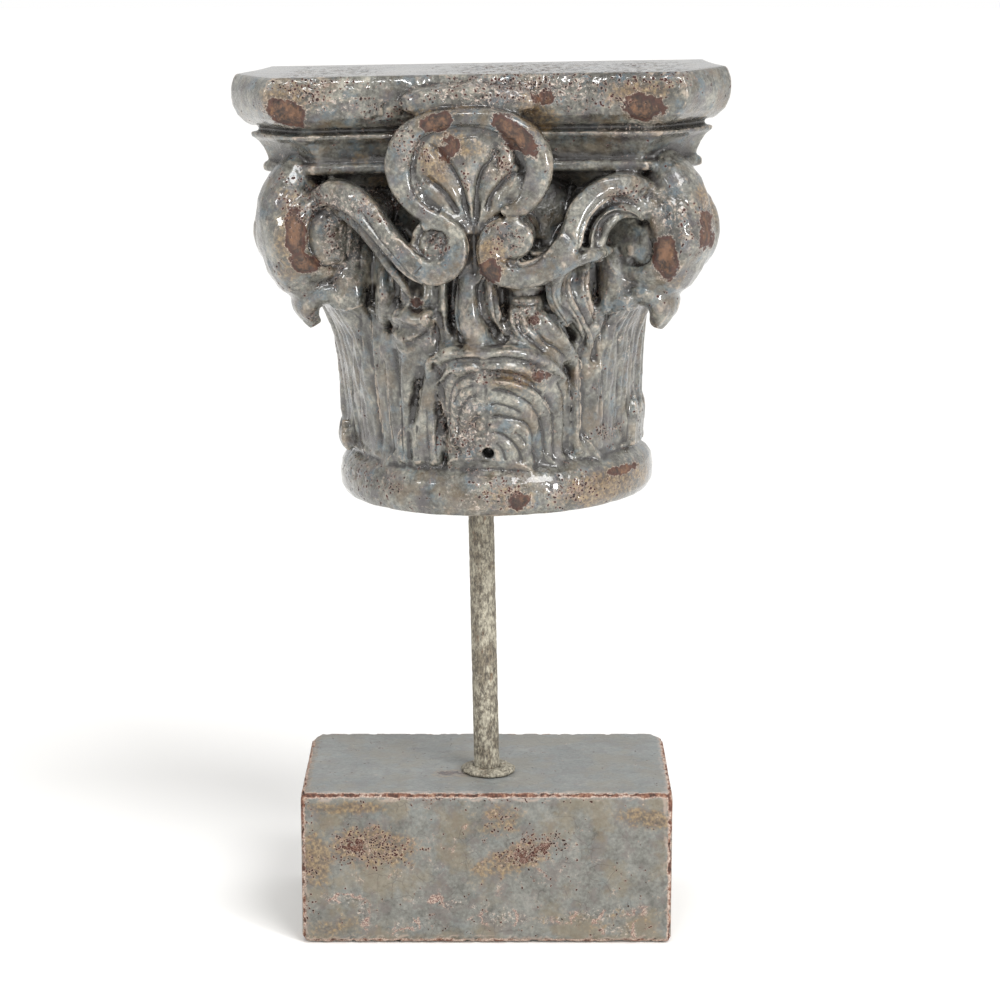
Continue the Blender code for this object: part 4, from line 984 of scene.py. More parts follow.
def boreCutter(place):  # the rod's socket and the drilled hole in the great leaf
    low, high = (Vector(corner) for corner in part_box("rod"))
    lean = Vector(mounts["top"]["axis"])
    radius, drilled = carving["bore"], carving["drilled"]
    top = high.z - radius * abs(lean.x)
    middle = (low + high) / 2
    bm = bmesh.new()
    turn = lean.to_track_quat("Z", "Y").to_matrix().to_4x4()
    bmesh.ops.create_cone(
        bm, cap_ends=True, segments=48, radius1=radius, radius2=radius, depth=2 * (top - middle.z),
        matrix=Matrix.Translation(middle) @ turn,
    )
    bm.transform(place.inverted())
    bmesh.ops.create_cone(
        bm, cap_ends=True, segments=24, radius1=drilled["inner"], radius2=drilled["outer"],
        depth=drilled["length"],
        matrix=Matrix.Translation(drilled["spot"]) @ Matrix.Rotation(math.radians(90), 4, "X"),
    )
    return objectFrom(bm, "bores")


def combedRibs(points):  # fine ribs combed up the corner leaves
    aside = np.degrees(np.arctan2(np.abs(points[:, 0]), -points[:, 1]))
    spread = (aside - corners["middle"]) / (corners["spread"] - 0.1 * (points[:, 2] - 25))
    ribs = np.cos(2 * math.pi * carving["combs"] * spread + 1.8 * noiseField(points, 14, 9.9))
    ribs *= smoothStep(1.2, 1.0, np.abs(spread)) * plateau(points[:, 2], *carving["combed"])
    return carving["comb"] * ribs * (0.6 + 0.8 * noiseField(points, 9, 4.1))


def wearCapital(mesh):  # presses the lines, then wanders, crusts, combs and chips the surface
    points, normals = meshArrays(mesh)
    moved = pressLines(points, normals)
    uneven = noiseField(points, 17, 3.1) * 0.6 + noiseField(points, 6, 8.4) * 0.4
    uneven += noiseField(points, 2.6, 1.7) * 0.22
    flat = np.maximum(smoothStep(219.5, 222, points[:, 2]), smoothStep(1.5, 4, points[:, 1]))
    uneven *= carving["uneven"] * (1 - 0.8 * flat)
    moved += normals * (uneven - 0.15)[:, None]
    crust = noiseField(points, 3.4, 6.6) + 0.6 * noiseField(points, 1.7, 3.3)
    moved += normals * (crust * carving["crust"] * markField(points, marks["crusted"]))[:, None]
    moved += normals * combedRibs(points)[:, None]
    chips = smoothStep(0.12, 0.5, noiseField(points, 3.2, 5.5)) * markField(points, marks["pitted"])
    moved -= normals * (chips * carving["chip"])[:, None]
    breakOff(moved, carving["spalls"], noiseField(points, 5, 2.2), carving["pressed"])
    moved[:, 2] = np.clip(moved[:, 2], 0, carving["height"])
    moved[:, 1] = np.minimum(moved[:, 1], carving["back"])
    setPoints(mesh, moved)


def hollowShare(mesh, rounds, full):  # -1 on edges, 1 in hollows this many millimetres deep
    points, normals = meshArrays(mesh)
    return np.clip(hollowness(mesh, points, normals, rounds) / full, -1, 1)


def markCapital(mesh):  # what the glaze reads
    points = meshArrays(mesh)[0]
    neck = plateau(points[:, 2], *carving["neck"])
    # Stains, and painted shade in the drilled hole and a volute groove, deepen the hollow colour
    stainsAndHoleShade = markField(points, marks["dark"])
    # deep: how far into a hollow, read as dirt and painted shade, with less painted shade in the neck
    setAttribute(mesh, "deep", np.maximum(hollowShare(mesh, 60, 3.0) * (1 - 0.6 * neck), stainsAndHoleShade))
    # fine: small hollows and sharp edges, read as dirt and painted shade in grooves and as thin glaze with a
    # painted highlight on edges
    setAttribute(mesh, "fine", hollowShare(mesh, 3, 0.35) * (1 - stainsAndHoleShade))
    for name in ("bare", "ochre", "pitted", "crazed"):
        setAttribute(mesh, name, markField(points, marks[name]))


def buildCapital():
    place = capitalPlace()
    piece = layUpCapital()
    addSkin(piece, carving["voxel"])
    even = piece.modifiers.new("Even", "SMOOTH")
    even.factor = 0.5
    even.iterations = 1
    bakeModifiers(piece)
    print("capital skin", len(piece.data.vertices), "points")
    mesh = piece.data
    fillHollows(mesh)
    wearCapital(mesh)

    cutter = boreCutter(place)
    bore = piece.modifiers.new("Bore", "BOOLEAN")
    bore.operation = "DIFFERENCE"
    bore.solver = "MANIFOLD"
    bore.object = cutter
    thin = piece.modifiers.new("Thin", "DECIMATE")
    mesh.calc_loop_triangles()
    thin.ratio = min(1.0, carving["triangles"] / len(mesh.loop_triangles))
    bakeModifiers(piece)
    bpy.data.objects.remove(cutter)
    mesh = piece.data
    mesh.calc_loop_triangles()
    print("capital", len(mesh.loop_triangles), "triangles")
    markCapital(mesh)
    mesh.transform(place)
    setPoints(mesh, np.clip(meshArrays(mesh)[0], *cadBox))
    mesh.shade_smooth()
    return piece


# Block: a slab-built box with wavy faces, chipped arrises and broken corners

block = {
    "voxel": 1.25,
    "round": 1.8,  # of the arrises, before they are chipped
    "wave": 0.55,
    "chip": 1.5,
    "spalls": (  # a point on the cut and the way it faces, in millimetres
        ((91.5, 50, 81.0), (0.7, 0.45, 0.56)), ((-92, 51, 80.2), (-0.8, 0.35, 0.5)),
        ((94.5, -51, 80.6), (0.75, -0.4, 0.52)), ((-95.2, -53.2, 3.2), (-0.7, -0.35, -0.62)),
        ((95.4, -53.4, 2.6), (0.74, -0.3, -0.6)), ((-94.9, -53.5, 79.9), (-0.6, -0.5, 0.62)),
        ((96.1, -10, 80.9), (0.8, 0.0, 0.6)),
    ),
    "pressed": 0.9,
    # What is marked on the front, as for the capital
    "bare": (
        (-62, 52, 17, 8, -8, 0.46), (22, 49, 17, 5.5, 24, 0.5),
    ),
    "ochre": (
        (-60, 53, 26, 12, -4, 0.9), (14, 46, 26, 9, 22, 0.85), (-88, 46, 9, 16, 10, 1.0),
        (-70, 74, 26, 4, 0, 0.8), (84, 68, 16, 6, -10, 0.9), (6, 66, 16, 10, 0, 0.6),
        (-80, 8, 20, 8, 0, 0.5), (60, 12, 40, 8, 0, 0.4),
    ),
    "pitted": (
        (-60, 53, 19, 10, 0, 1.6), (24, 51, 18, 7, 20, 1.6), (-92, 40, 4, 40, 0, 0.6),
        (0, 80, 96, 3, 0, 0.8), (8, 66, 14, 8, 0, 0.6),
    ),
    "crazed": (
        (56, 15, 30, 5, 6, 0.8), (-72, 24, 16, 4, -10, 0.7), (-64, 17, 4, 12, 10, 0.7),
        (-20, 23, 22, 4, -6, 0.7), (8, 14, 20, 6, 0, 0.7), (-40, 10, 14, 5, 20, 0.6),
        (70, 8, 12, 6, 0, 0.8), (0, 44, 90, 30, 0, 0.3),
    ),
    # What is rubbed and rusted on the top beside the collar: x, y, half width, half depth
    "rust": (-17, -20, 12, 9), "rubbed": (-19, -19, 9, 5),
}


def blockBody(low, high):
    size, middle = high - low, (high + low) / 2
    bm = bmesh.new()
    bmesh.ops.create_cube(bm, size=1.0, matrix=Matrix.Translation(middle) @ Matrix.Diagonal((*size, 1.0)))
    bmesh.ops.bevel(
        bm, geom=bm.edges[:], offset=block["round"], segments=3, profile=0.5, affect="EDGES", material=-1,
    )
    piece = objectFrom(bm, "block_glazed")
    addSkin(piece, block["voxel"])
    bakeModifiers(piece)
    return piece


def wearBlock(mesh, low, high):  # returns how near each point was to an arris, and how ragged it is there
    points, normals = meshArrays(mesh)
    wave = noiseField(points, 46, 2.0) * 0.6 + noiseField(points, 15, 6.0) * 0.35
    wave += noiseField(points, 4, 9.0) * 0.15
    depth = block["wave"] * (1 + wave) * 0.5
    # An arris lies between a point's two nearest faces
    gaps = np.sort(np.minimum(points - np.array(low), np.array(high) - points), axis=1)
    arris = 1 - smoothStep(0.9, 4.4, gaps[:, 1])
    ragged = smoothStep(-0.05, 0.5, noiseField(points, 4.2, 4.4) + 0.5 * noiseField(points, 1.9, 7.7))
    depth += arris * (0.3 + block["chip"] * ragged)
    moved = points - normals * depth[:, None]
    breakOff(moved, block["spalls"], noiseField(points, 3.5, 1.2) * 0.7, block["pressed"])
    moved[:, 2] = np.maximum(moved[:, 2], low.z)
    setPoints(mesh, moved)
    return arris, ragged


def markBlock(mesh, low, high, arris, ragged):  # what the glaze reads
    points = meshArrays(mesh)[0]
    # deep and fine as on the capital: hollows read as dirt and painted shade, edges as thin glaze with a
    # painted highlight
    setAttribute(mesh, "deep", hollowShare(mesh, 40, 2.0))
    setAttribute(mesh, "fine", hollowShare(mesh, 6, 0.25))
    upperFront = smoothStep(12, 6, points[:, 1] - low.y) * smoothStep(12, 6, high.z - points[:, 2])
    setAttribute(mesh, "arris", arris * (0.66 + 0.18 * ragged + 0.14 * upperFront))
    topFace = smoothStep(high.z - 4, high.z - 1.5, points[:, 2])
    setAttribute(mesh, "topFace", topFace)
    strip = (1 - smoothStep(3, 7, points[:, 0] - low.x)) * 0.9  # along the left edge of the top
    onTop = {
        "ochre": np.maximum(strip, 1 - smoothStep(0.3, 1.5, ovalShare(points, 1, block["rust"]))),
        "bare": (1 - smoothStep(0.2, 1.4, ovalShare(points, 1, block["rubbed"]))) * 0.8,
    }
    for name in ("bare", "ochre", "pitted", "crazed"):
        field = markField(points, block[name]) * (1 - topFace) * smoothStep(-40, -52, points[:, 1])
        setAttribute(mesh, name, np.maximum(field, onTop.get(name, 0.0) * topFace))


def buildBlock():
    low, high = (Vector(corner) * 1000 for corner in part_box("block"))
    piece = blockBody(low, high)
    mesh = piece.data
    arris, ragged = wearBlock(mesh, low, high)
    markBlock(mesh, low, high, arris, ragged)
    mesh.transform(Matrix.Scale(0.001, 4))
    mesh.shade_smooth()
    print("block", len(mesh.polygons), "faces")
    return piece


# Rod and collar, in metres but for the rod's rise from ring to ring and its roughness, in millimetres

rod = {"sides": 64, "rise": 1.4, "rough": 0.18, "play": 0.00003, "endGap": 0.0002}


def buildRod():
    low, high = (Vector(corner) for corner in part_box("rod"))
    lean = Vector(mounts["top"]["axis"])
    slope = lean.x / lean.z
    length = high.z - low.z
    radius = ((high.x - low.x) - abs(slope) * length) / 2
    footX = low.x + radius if slope > 0 else high.x - radius
    foot = Vector((footX, (low.y + high.y) / 2, low.z + rod["endGap"]))
    radius = min(radius, (high.y - low.y) / 2) - rod["play"]
    bm = bmesh.new()
    made = bmesh.ops.create_circle(bm, cap_ends=True, segments=rod["sides"], radius=radius)
    bmesh.ops.translate(bm, verts=made["verts"], vec=foot)
    face = bm.faces[:][0]
    steps = int(length * 1000 / rod["rise"])
    climb = (length - 2 * rod["endGap"]) / steps
    for _ in range(steps):
        face = extrudeFace(bm, face)
        bmesh.ops.translate(bm, verts=face.verts[:], vec=(slope * climb, 0, climb))
    bmesh.ops.recalc_face_normals(bm, faces=bm.faces)
    piece = objectFrom(bm, "rod_limed")
    mesh = piece.data
    points, normals = meshArrays(mesh)
    lime = noiseField(points * 1000, 5, 4.0) + 0.6 * noiseField(points * 1000, 1.8, 2.0)
    flakes = smoothStep(-0.1, 0.35, lime)
    normals[:, 2] = 0
    setPoints(mesh, points - normals * (flakes * rod["rough"] * 0.001)[:, None])
    setAttribute(mesh, "flakes", flakes)
    mesh.shade_smooth()
    return piece


collar = {
    "sides": 120,
    "gap": 0.0003,  # round the rod
    "profile": (  # shares of the way out to the ragged edge, and of the height: a low mound with a flat crown
        (0.3, 0.0), (0.7, 0.0), (0.96, 0.0), (1.0, 0.3), (0.93, 0.62), (0.75, 0.8), (0.5, 0.9), (0.25, 0.96),
        (0.0, 1.0),
    ),
}


def roundNoise(a, reach, height):  # noise that joins up round the collar
    return noise.noise(Vector((math.cos(a) * reach, math.sin(a) * reach, height)))


def buildCollar():
    low, high = (Vector(corner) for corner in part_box("rod_flange"))
    middle, tall = (low + high) / 2, high.z - low.z
    wide, deep = (high.x - low.x) / 2, (high.y - low.y) / 2
    rodLow, rodHigh = (Vector(corner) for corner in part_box("rod"))
    slope = mounts["top"]["axis"][0] / mounts["top"]["axis"][2]
    radius = (rodHigh.y - rodLow.y) / 2
    rodX = rodHigh.x - radius + slope * (low.z - rodLow.z)
    rodY = (rodLow.y + rodHigh.y) / 2
    hole = radius + collar["gap"]
    bm = bmesh.new()
    bmesh.ops.create_circle(bm, segments=collar["sides"], radius=hole)
    bmesh.ops.translate(bm, verts=bm.verts, vec=(rodX, rodY, low.z))
    ring = bm.edges[:]
    for out, rise in collar["profile"]:
        grown = bmesh.ops.extrude_edge_only(bm, edges=ring)["geom"]
        ring = [item for item in grown if isinstance(item, bmesh.types.BMEdge)]
        for corner in (item for item in grown if isinstance(item, bmesh.types.BMVert)):
            a = math.atan2(corner.co.y - rodY, corner.co.x - rodX)
            ragged = 0.9 + 0.08 * roundNoise(a, 2, 4.2) + 0.05 * roundNoise(a, 7, 1.2)
            edgeX, edgeY = middle.x + wide * ragged * math.cos(a), middle.y + deep * ragged * math.sin(a)
            holeX, holeY = rodX + hole * math.cos(a), rodY + hole * math.sin(a)
            lump = 0.5 + 0.5 * roundNoise(a, 3.2, out * 3)
            height = tall * rise * (0.55 + 0.45 * lump)
            corner.co = (holeX + (edgeX - holeX) * out, holeY + (edgeY - holeY) * out, low.z + height)
    bmesh.ops.bridge_loops(bm, edges=[edge for edge in bm.edges if edge.is_boundary])
    bmesh.ops.recalc_face_normals(bm, faces=bm.faces)
    piece = objectFrom(bm, "collar_limed")
    piece.data.shade_smooth()
    return piece


# Materials: outputs and plain numbers go through the same small functions

def newMaterial(name):
    material = bpy.data.materials.new(name)
    material.use_nodes = True
    tree = material.node_tree
    place = addNode(tree, "ShaderNodeTexCoord").outputs["Object"]
    return material, tree, tree.nodes["Principled BSDF"], place


def attributeOf(tree, name):
    return addNode(tree, "ShaderNodeAttribute", {"attribute_name": name}).outputs["Fac"]


def joined(kind, settings, values, output=0):  # a node with at least one output among its values
    links = {key: value for key, value in values.items() if isinstance(value, bpy.types.NodeSocket)}
    plain = {key: value for key, value in values.items() if key not in links}
    tree = next(iter(links.values())).id_data
    return addNode(tree, kind, {**settings, **plain}, links).outputs[output]


def mathOf(operation, a, b=0.0, clamp=False):
    return joined("ShaderNodeMath", {"operation": operation, "use_clamp": clamp}, {0: a, 1: b})


def times(a, b):
    return mathOf("MULTIPLY", a, b)


def plus(a, b, clamp=False):
    return mathOf("ADD", a, b, clamp)


def minus(a, b, clamp=False):
    return mathOf("SUBTRACT", a, b, clamp)


def rangeOf(value, low, high):  # 0 below low, 1 above high
    settings = {"interpolation_type": "SMOOTHSTEP", "From Min": low, "From Max": high}
    return joined("ShaderNodeMapRange", settings, {"Value": value})


def mixOf(share, a, b):  # colours, as hex or outputs
    return joined("ShaderNodeMix", {"data_type": "RGBA"}, {0: share, 6: a, 7: b}, 2)


def over(under, share, top, most=1.0):
    return mixOf(times(share, most), under, top)


def ramp(value, stops):
    return joined("ShaderNodeValToRGB", {"stops": stops}, {0: value}, "Color")


def noiseOf(place, size, detail, rough=0.55):
    settings = {"Scale": perMm(size), "Detail": detail, "Roughness": rough}
    return joined("ShaderNodeTexNoise", settings, {"Vector": place}, "Fac")


def stretched(place, share):  # drawn out upwards
    return joined("ShaderNodeMapping", {"Scale": (1.0, 1.0, share)}, {"Vector": place})


def warped(place, size, detail, share):  # swayed by noise of this size
    sway = joined("ShaderNodeTexNoise", {"Scale": perMm(size), "Detail": detail}, {"Vector": place}, "Color")
    return joined("ShaderNodeMix", {"data_type": "VECTOR", 0: share}, {4: place, 5: sway}, 1)


def cracksOf(place, size):  # the distance from the nearest crack, as a share of this size
    cells = {"feature": "DISTANCE_TO_EDGE", "Scale": perMm(size), "Randomness": 1.0}
    return joined("ShaderNodeTexVoronoi", cells, {"Vector": place}, "Distance")


def surface(shader, colour, rough, height):  # the height is in millimetres
    bump = joined("ShaderNodeBump", {"Strength": 1.0, "Distance": 0.001}, {"Height": height})
    for name, output in (("Base Color", colour), ("Roughness", rough), ("Normal", bump)):
        shader.id_data.links.new(output, shader.inputs[name])


glazes = {
    # Reactive glaze, poured, fired glossy and rubbed back: grey-green body, hollows dark with dirt and
    # painted shade, bare brown clay
    "capital": {
        "body": (
            (0.37, "#2E2B26"), (0.45, "#4C4A43"), (0.52, "#6A6961"), (0.58, "#8C8A7F"), (0.66, "#B2AC9E"),
        ),
        "tints": (  # colour, size in mm, where it starts and is full, how much
            ("#546B78", 9, 0.50, 0.66, 0.5), ("#4F484D", 11, 0.50, 0.64, 0.5),
            ("#6A583F", 15, 0.50, 0.66, 0.5),
        ),
        "hollow": "#221E1C", "hollowDirtAndShadeAmount": 0.95, "hollowDirtAndShadeFrom": 0.0, "hollowDirtAndShadeTo": 0.5, "edge": "#BBAA98",
        "coat": 0.9, "gloss": 0.24, "pitSize": 1.8, "crackle": 3.4, "undulation": 2.4, "crumb": 1.7,
        "crumbAmount": 0.9, "ragged": 1.3, "specks": 0.8, "tan": 0.5, "rubbed": False,
    },
    # The same glaze brushed thin on flat slabs and left matt, its arrises rubbed through
    "block": {
        "body": (
            (0.36, "#4B4A45"), (0.44, "#62615B"), (0.52, "#75756F"), (0.60, "#86847D"), (0.70, "#98948B"),
        ),
        "tints": (
            ("#6A777A", 11, 0.50, 0.68, 0.25), ("#655D59", 7, 0.48, 0.62, 0.6),
            ("#776A52", 20, 0.46, 0.62, 0.5),
        ),
        "hollow": "#3B3631", "hollowDirtAndShadeAmount": 0.6, "hollowDirtAndShadeFrom": 0.1, "hollowDirtAndShadeTo": 0.6, "edge": "#A79588",
        "coat": 0.0, "gloss": 0.46, "pitSize": 1.5, "crackle": 9.0, "undulation": 5.0, "crumb": 1.6,
        "crumbAmount": 0.7, "ragged": 1.9, "specks": 0.35, "tan": 0.0, "rubbed": True,
    },
}


def lay(g, share, top, most=1.0):  # the next colour over the glaze so far
    g.colour = over(g.colour, share, top, most)


def startGlaze(tree, place):  # the noises that its layers share
    g = SimpleNamespace(tree=tree, place=place)
    g.middling = noiseOf(place, 7, 5, 0.6)
    g.small = noiseOf(place, 1.9, 4, 0.65)
    g.grit = noiseOf(place, 0.7, 3, 0.7)
    g.shifted = joined("ShaderNodeMapping", {"Location": (0.31, 0.17, 0.23)}, {"Vector": place})
    g.bent = warped(place, 5, 3.0, 0.0035)
    g.streak = stretched(place, 0.5)
    g.wander = minus(plus(g.middling, times(g.small, 0.5)), 0.75)
    return g


def pourBody(g, look):  # it pools and thins, with patches of other tints
    broad = noiseOf(g.place, 26, 5)
    pooled = plus(plus(times(broad, 0.3), times(g.middling, 0.35)), times(g.small, 0.35))
    g.colour = ramp(pooled, look["body"])
    lay(g, rangeOf(g.grit, 0.6, 0.72), "#38332E", look["specks"])
    for tint, size, start, full, most in look["tints"]:
        patch = rangeOf(noiseOf(g.shifted, size, 5, 0.62), start, full)
        lay(g, patch, tint, most)


def settle(g, look):  # dirt, thick glaze and painted shade darken the hollows, and the edges go pale with thin glaze and a painted highlight
    deep, fine = attributeOf(g.tree, "deep"), attributeOf(g.tree, "fine")
    # The hollow colour is partly dirt and pooled glaze, partly painted shade laid into the recesses
    sunkDirtAndShade = plus(plus(times(deep, 0.75), times(fine, 0.55)), times(minus(g.small, 0.5), 0.5))
    hollow = rangeOf(sunkDirtAndShade, look["hollowDirtAndShadeFrom"], look["hollowDirtAndShadeTo"])
    lay(g, hollow, look["hollow"], look["hollowDirtAndShadeAmount"])
    # Thin pale glaze on the edges, with a painted highlight along the ridges
    lay(g, rangeOf(minus(times(g.small, 0.6), fine), 0.62, 1.1), look["edge"], 0.55)


def crackle(g, look):  # dark hair lines in places, crumbs of pale and dark glaze where it is crazed
    hair = minus(1.0, rangeOf(cracksOf(g.bent, look["crackle"]), 0.0, 0.035), True)
    g.hair = times(hair, rangeOf(noiseOf(g.shifted, 12, 3), 0.48, 0.62))
    lay(g, g.hair, "#453D38", 0.4)
    flaky = rangeOf(plus(attributeOf(g.tree, "crazed"), times(minus(g.middling, 0.5), 2.2)), 0.3, 0.8)
    crumb = noiseOf(g.bent, look["crumb"], 3, 0.65)
    g.veins = times(flaky, rangeOf(crumb, 0.53, 0.64))
    pale = mixOf(rangeOf(g.grit, 0.4, 0.6), "#A38D80", "#D8CDC1")
    lay(g, g.veins, pale, look["crumbAmount"])
    lay(g, times(flaky, rangeOf(crumb, 0.44, 0.36)), "#33281F", 0.6)


def burnOchre(g):  # where the glaze has burnt thin round the bare clay
    ochre = rangeOf(plus(attributeOf(g.tree, "ochre"), times(g.wander, 1.7)), 0.25, 0.8)
    tones = ramp(g.small, ((0.38, "#4A3828"), (0.5, "#6E573C"), (0.62, "#917850")))
    lay(g, ochre, tones, 0.7)


def wearToClay(g, look):  # bare clay, dark red at its edges, inside a pale broken shell of glaze
    worn = plus(attributeOf(g.tree, "bare"), times(g.wander, look["ragged"]))
    g.bare = rangeOf(worn, 0.44, 0.58)
    browns = ((0.34, "#1A1411"), (0.43, "#2D221C"), (0.52, "#443127"), (0.61, "#614533"), (0.72, "#866848"))
    clay = ramp(noiseOf(g.streak, 4.5, 6, 0.7), browns)
    clay = over(clay, rangeOf(worn, 0.85, 0.55), "#4E261C", 0.55)
    tan = rangeOf(plus(worn, times(minus(g.small, 0.5), 0.8)), 0.75, 1.3)
    clay = over(clay, tan, "#8C664A", look["tan"])
    g.colour = mixOf(g.bare, g.colour, clay)
    shell = rangeOf(mathOf("ABSOLUTE", minus(worn, 0.45)), 0.06, 0.0)
    lay(g, times(shell, rangeOf(g.grit, 0.42, 0.58)), "#C4B2A2", 0.8)


def burstPits(g, look):  # burst through the glaze and rimmed pale
    holes = {"Scale": perMm(look["pitSize"]), "Randomness": 1.0}
    burst = addNode(g.tree, "ShaderNodeTexVoronoi", holes, {"Vector": g.bent})
    chance = joined("ShaderNodeSeparateColor", {}, {0: burst.outputs["Color"]})
    cluster = times(minus(noiseOf(g.shifted, 4.5, 3, 0.6), 0.58), 3.4)
    crowd = plus(times(plus(attributeOf(g.tree, "pitted"), cluster), 1.2), 0.02)
    opened = mathOf("LESS_THAN", chance, crowd)
    reach = plus(burst.outputs["Distance"], times(g.grit, 0.25))
    g.pit = times(rangeOf(reach, 0.52, 0.40), opened)
    halo = times(rangeOf(reach, 0.72, 0.54), opened)
    lay(g, halo, mixOf(g.small, "#B9A596", "#7E5546"), 0.55)
    lay(g, g.pit, ramp(g.middling, ((0.4, "#1E1412"), (0.6, "#46201A"))))


def rubArrises(g):  # a top painted paler as light from above, winding seams, and arrises rubbed to red-brown clay between pale edges
    # The top face painted paler and bluer: painted light on the upward face
    lay(g, attributeOf(g.tree, "topFace"), "#A3A9AB", 0.3)
    seam = rangeOf(cracksOf(warped(g.place, 8, 5.0, 0.014), 17), 0.07, 0.02)
    torn = rangeOf(plus(attributeOf(g.tree, "crazed"), times(g.wander, 1.2)), 0.3, 0.6)
    scar = mixOf(rangeOf(g.grit, 0.42, 0.58), "#6B443B", "#B9A394")
    lay(g, times(seam, torn), scar, 0.8)
    rubbing = plus(attributeOf(g.tree, "arris"), times(g.wander, 1.1))
    rubbed = rangeOf(rubbing, 0.3, 0.5)
    rim = mixOf(rangeOf(g.grit, 0.4, 0.6), "#8C6F61", "#C6B3A4")
    lay(g, rubbed, rim, 0.85)
    redder = ((0.38, "#35231D"), (0.47, "#553429"), (0.56, "#7A5241"), (0.64, "#A58872"))
    core = ramp(noiseOf(g.streak, 2.6, 5, 0.7), redder)
    lay(g, rangeOf(rubbing, 0.58, 0.72), core, 0.95)
    g.bare = mathOf("MAXIMUM", g.bare, rubbed)


def glazeMaterial(name, look):
    material, tree, shader, place = newMaterial(name)
    g = startGlaze(tree, place)
    pourBody(g, look)
    settle(g, look)
    crackle(g, look)
    burnOchre(g)
    wearToClay(g, look)
    burstPits(g, look)
    if look["rubbed"]:
        rubArrises(g)
    # Glossy where the glaze is whole, dull on clay and in pits
    dull = mathOf("MAXIMUM", times(g.bare, 0.75), g.pit)
    rough = plus(look["gloss"], times(rangeOf(g.middling, 0.35, 0.7), 0.14))
    rough = plus(plus(rough, times(g.veins, 0.2)), times(dull, 0.5), True)
    tree.links.new(times(minus(1.0, dull, True), look["coat"]), shader.inputs["Coat Weight"])
    shader.inputs["Coat Roughness"].default_value = 0.07
    shader.inputs["IOR"].default_value = 1.52
    # Undulating glaze, cracks, lost glaze and pits
    height = plus(times(noiseOf(place, look["undulation"], 3, 0.5), 0.6), times(g.grit, 0.12))
    height = minus(plus(height, times(g.veins, 0.2)), times(g.hair, 0.1))
    height = minus(minus(height, times(g.bare, 0.22)), times(g.pit, 0.6))
    surface(shader, g.colour, rough, height)
    return material


def limedIron(name, flaking):
    # Mild steel bar, rusted and brushed with lime: chalky white skin, grey-brown scale where it has flaked
    material, tree, shader, place = newMaterial(name)
    drawn = stretched(place, 0.45)
    blotch, speck = noiseOf(drawn, 6, 7, 0.72), noiseOf(drawn, 1.1, 4, 0.7)
    scale = ramp(speck, ((0.34, "#45403A"), (0.46, "#665F54"), (0.58, "#837A69"), (0.72, "#978E7B")))
    lime = ramp(speck, ((0.32, "#777264"), (0.48, "#989283"), (0.62, "#B4AE9C"), (0.74, "#C8C3B2")))
    field = plus(times(blotch, 0.8), times(speck, 0.35))
    if flaking:
        field = minus(field, times(attributeOf(tree, "flakes"), 0.12))
    chalk = rangeOf(field, 0.44, 0.66)
    rust = rangeOf(noiseOf(drawn, 4, 4, 0.7), 0.6, 0.72)
    colour = over(mixOf(chalk, scale, lime), rust, "#7A5233", 0.55)
    tree.links.new(times(minus(1.0, chalk), 0.35), shader.inputs["Metallic"])
    rough = plus(0.52, times(chalk, 0.3))
    surface(shader, colour, rough, plus(times(chalk, 0.18), times(speck, 0.35)))
    return material


# Studio

studio = {
    "lens": 108.02, "sensor": 36.0, "pitch": 12.3876, "target": (0.0069, -0.0152, 0.2282), "distance": 1.5549,
    "view": (1.0, 0.998, 0.995), "ambient": 0.74,
    "floor": {"colour": "#FBFAF8", "radius": 9.0, "drop": 0.0002},
    "sun": {"energy": 1.6, "angle": 24.0, "from": (0.5, -0.75, 1.0)},
    "boxes": (  # place, aim, size, power
        ((1.1, -1.2, 0.5), (0, 0, 0.28), 0.24, 8.5), ((-1.15, -0.95, 0.95), (0, 0, 0.33), 0.22, 3.4),
        ((-0.25, -1.5, 1.6), (0, 0, 0.3), 0.2, 4.0),
    ),
}


def turnTowards(thing, direction):
    thing.rotation_euler = direction.to_track_quat("-Z", "Y").to_euler()


def buildCamera():
    data = bpy.data.cameras.new("camera")
    data.lens, data.sensor_width = studio["lens"], studio["sensor"]
    camera = newObject("camera", data)
    pitch = math.radians(studio["pitch"])
    forward = Vector((0, math.cos(pitch), -math.sin(pitch)))
    camera.location = Vector(studio["target"]) - forward * studio["distance"]
    turnTowards(camera, forward)
    bpy.context.scene.camera = camera


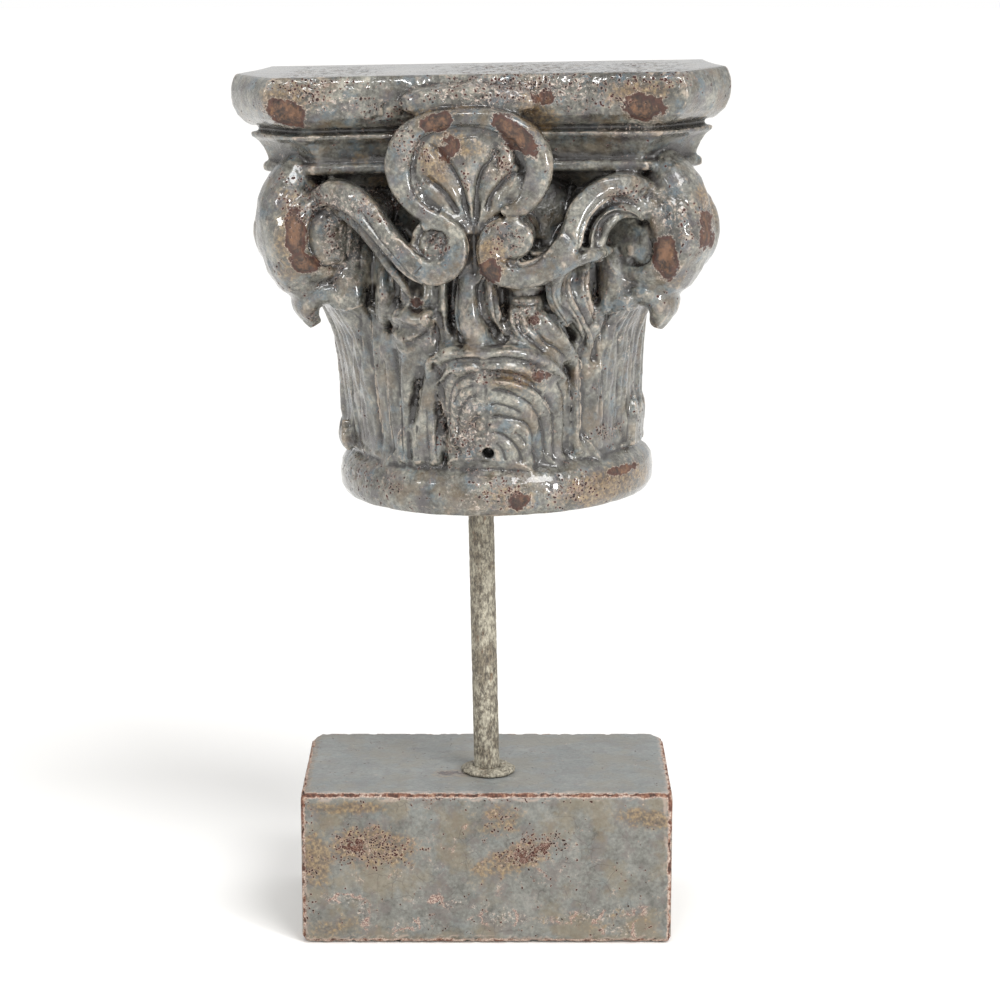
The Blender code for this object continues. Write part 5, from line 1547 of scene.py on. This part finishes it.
def buildFloor():
    bm = bmesh.new()
    bmesh.ops.create_circle(bm, cap_ends=True, segments=64, radius=studio["floor"]["radius"])
    floor = objectFrom(bm, "floor")
    floor.location.z = -studio["floor"]["drop"]
    material, _, shader, _ = newMaterial("painted_plaster_floor")
    shader.inputs["Base Color"].default_value = toLinear(studio["floor"]["colour"])
    shader.inputs["Roughness"].default_value = 0.8
    shader.inputs["Specular IOR Level"].default_value = 0.1
    floor.data.materials.append(material)


def buildLights():
    sun = bpy.data.lights.new("sun", "SUN")
    sun.energy, sun.angle = studio["sun"]["energy"], math.radians(studio["sun"]["angle"])
    turnTowards(newObject("sun", sun), -Vector(studio["sun"]["from"]))
    for k, (spot, aim, size, power) in enumerate(studio["boxes"]):
        light = bpy.data.lights.new(f"softbox_{k}", "AREA")
        light.size, light.energy = size, power
        box = newObject(f"softbox_{k}", light)
        box.location = spot
        turnTowards(box, Vector(aim) - Vector(spot))


def buildWorld():  # white to the camera, dimmer as light
    scene = bpy.context.scene
    world = bpy.data.worlds.new("studio")
    scene.world = world
    world.use_nodes = True
    tree = world.node_tree
    paths = addNode(tree, "ShaderNodeLightPath").outputs["Is Camera Ray"]
    strength = addNode(tree, "ShaderNodeMix", {2: studio["ambient"], 3: 1.0}, {0: paths}).outputs[0]
    ground = tree.nodes["Background"]
    ground.inputs["Color"].default_value = (*studio["view"], 1.0)
    tree.links.new(strength, ground.inputs["Strength"])
    scene.view_settings.view_transform = "Standard"


def finishPiece(piece, material, node):
    piece.data.materials.clear()
    piece.data.materials.append(material)
    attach(piece, "root")
    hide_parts(node)


capitalGlaze = glazeMaterial("crackle_glazed_terracotta", glazes["capital"])
finishPiece(buildCapital(), capitalGlaze, "capital")
finishPiece(buildBlock(), glazeMaterial("matt_glazed_terracotta", glazes["block"]), "block")
finishPiece(buildRod(), limedIron("limed_iron", True), "rod")
finishPiece(buildCollar(), limedIron("limed_iron_crust", False), "rod_flange")
print("pieces finished")
buildCamera()
buildFloor()
buildLights()
buildWorld()
print("studio ready")
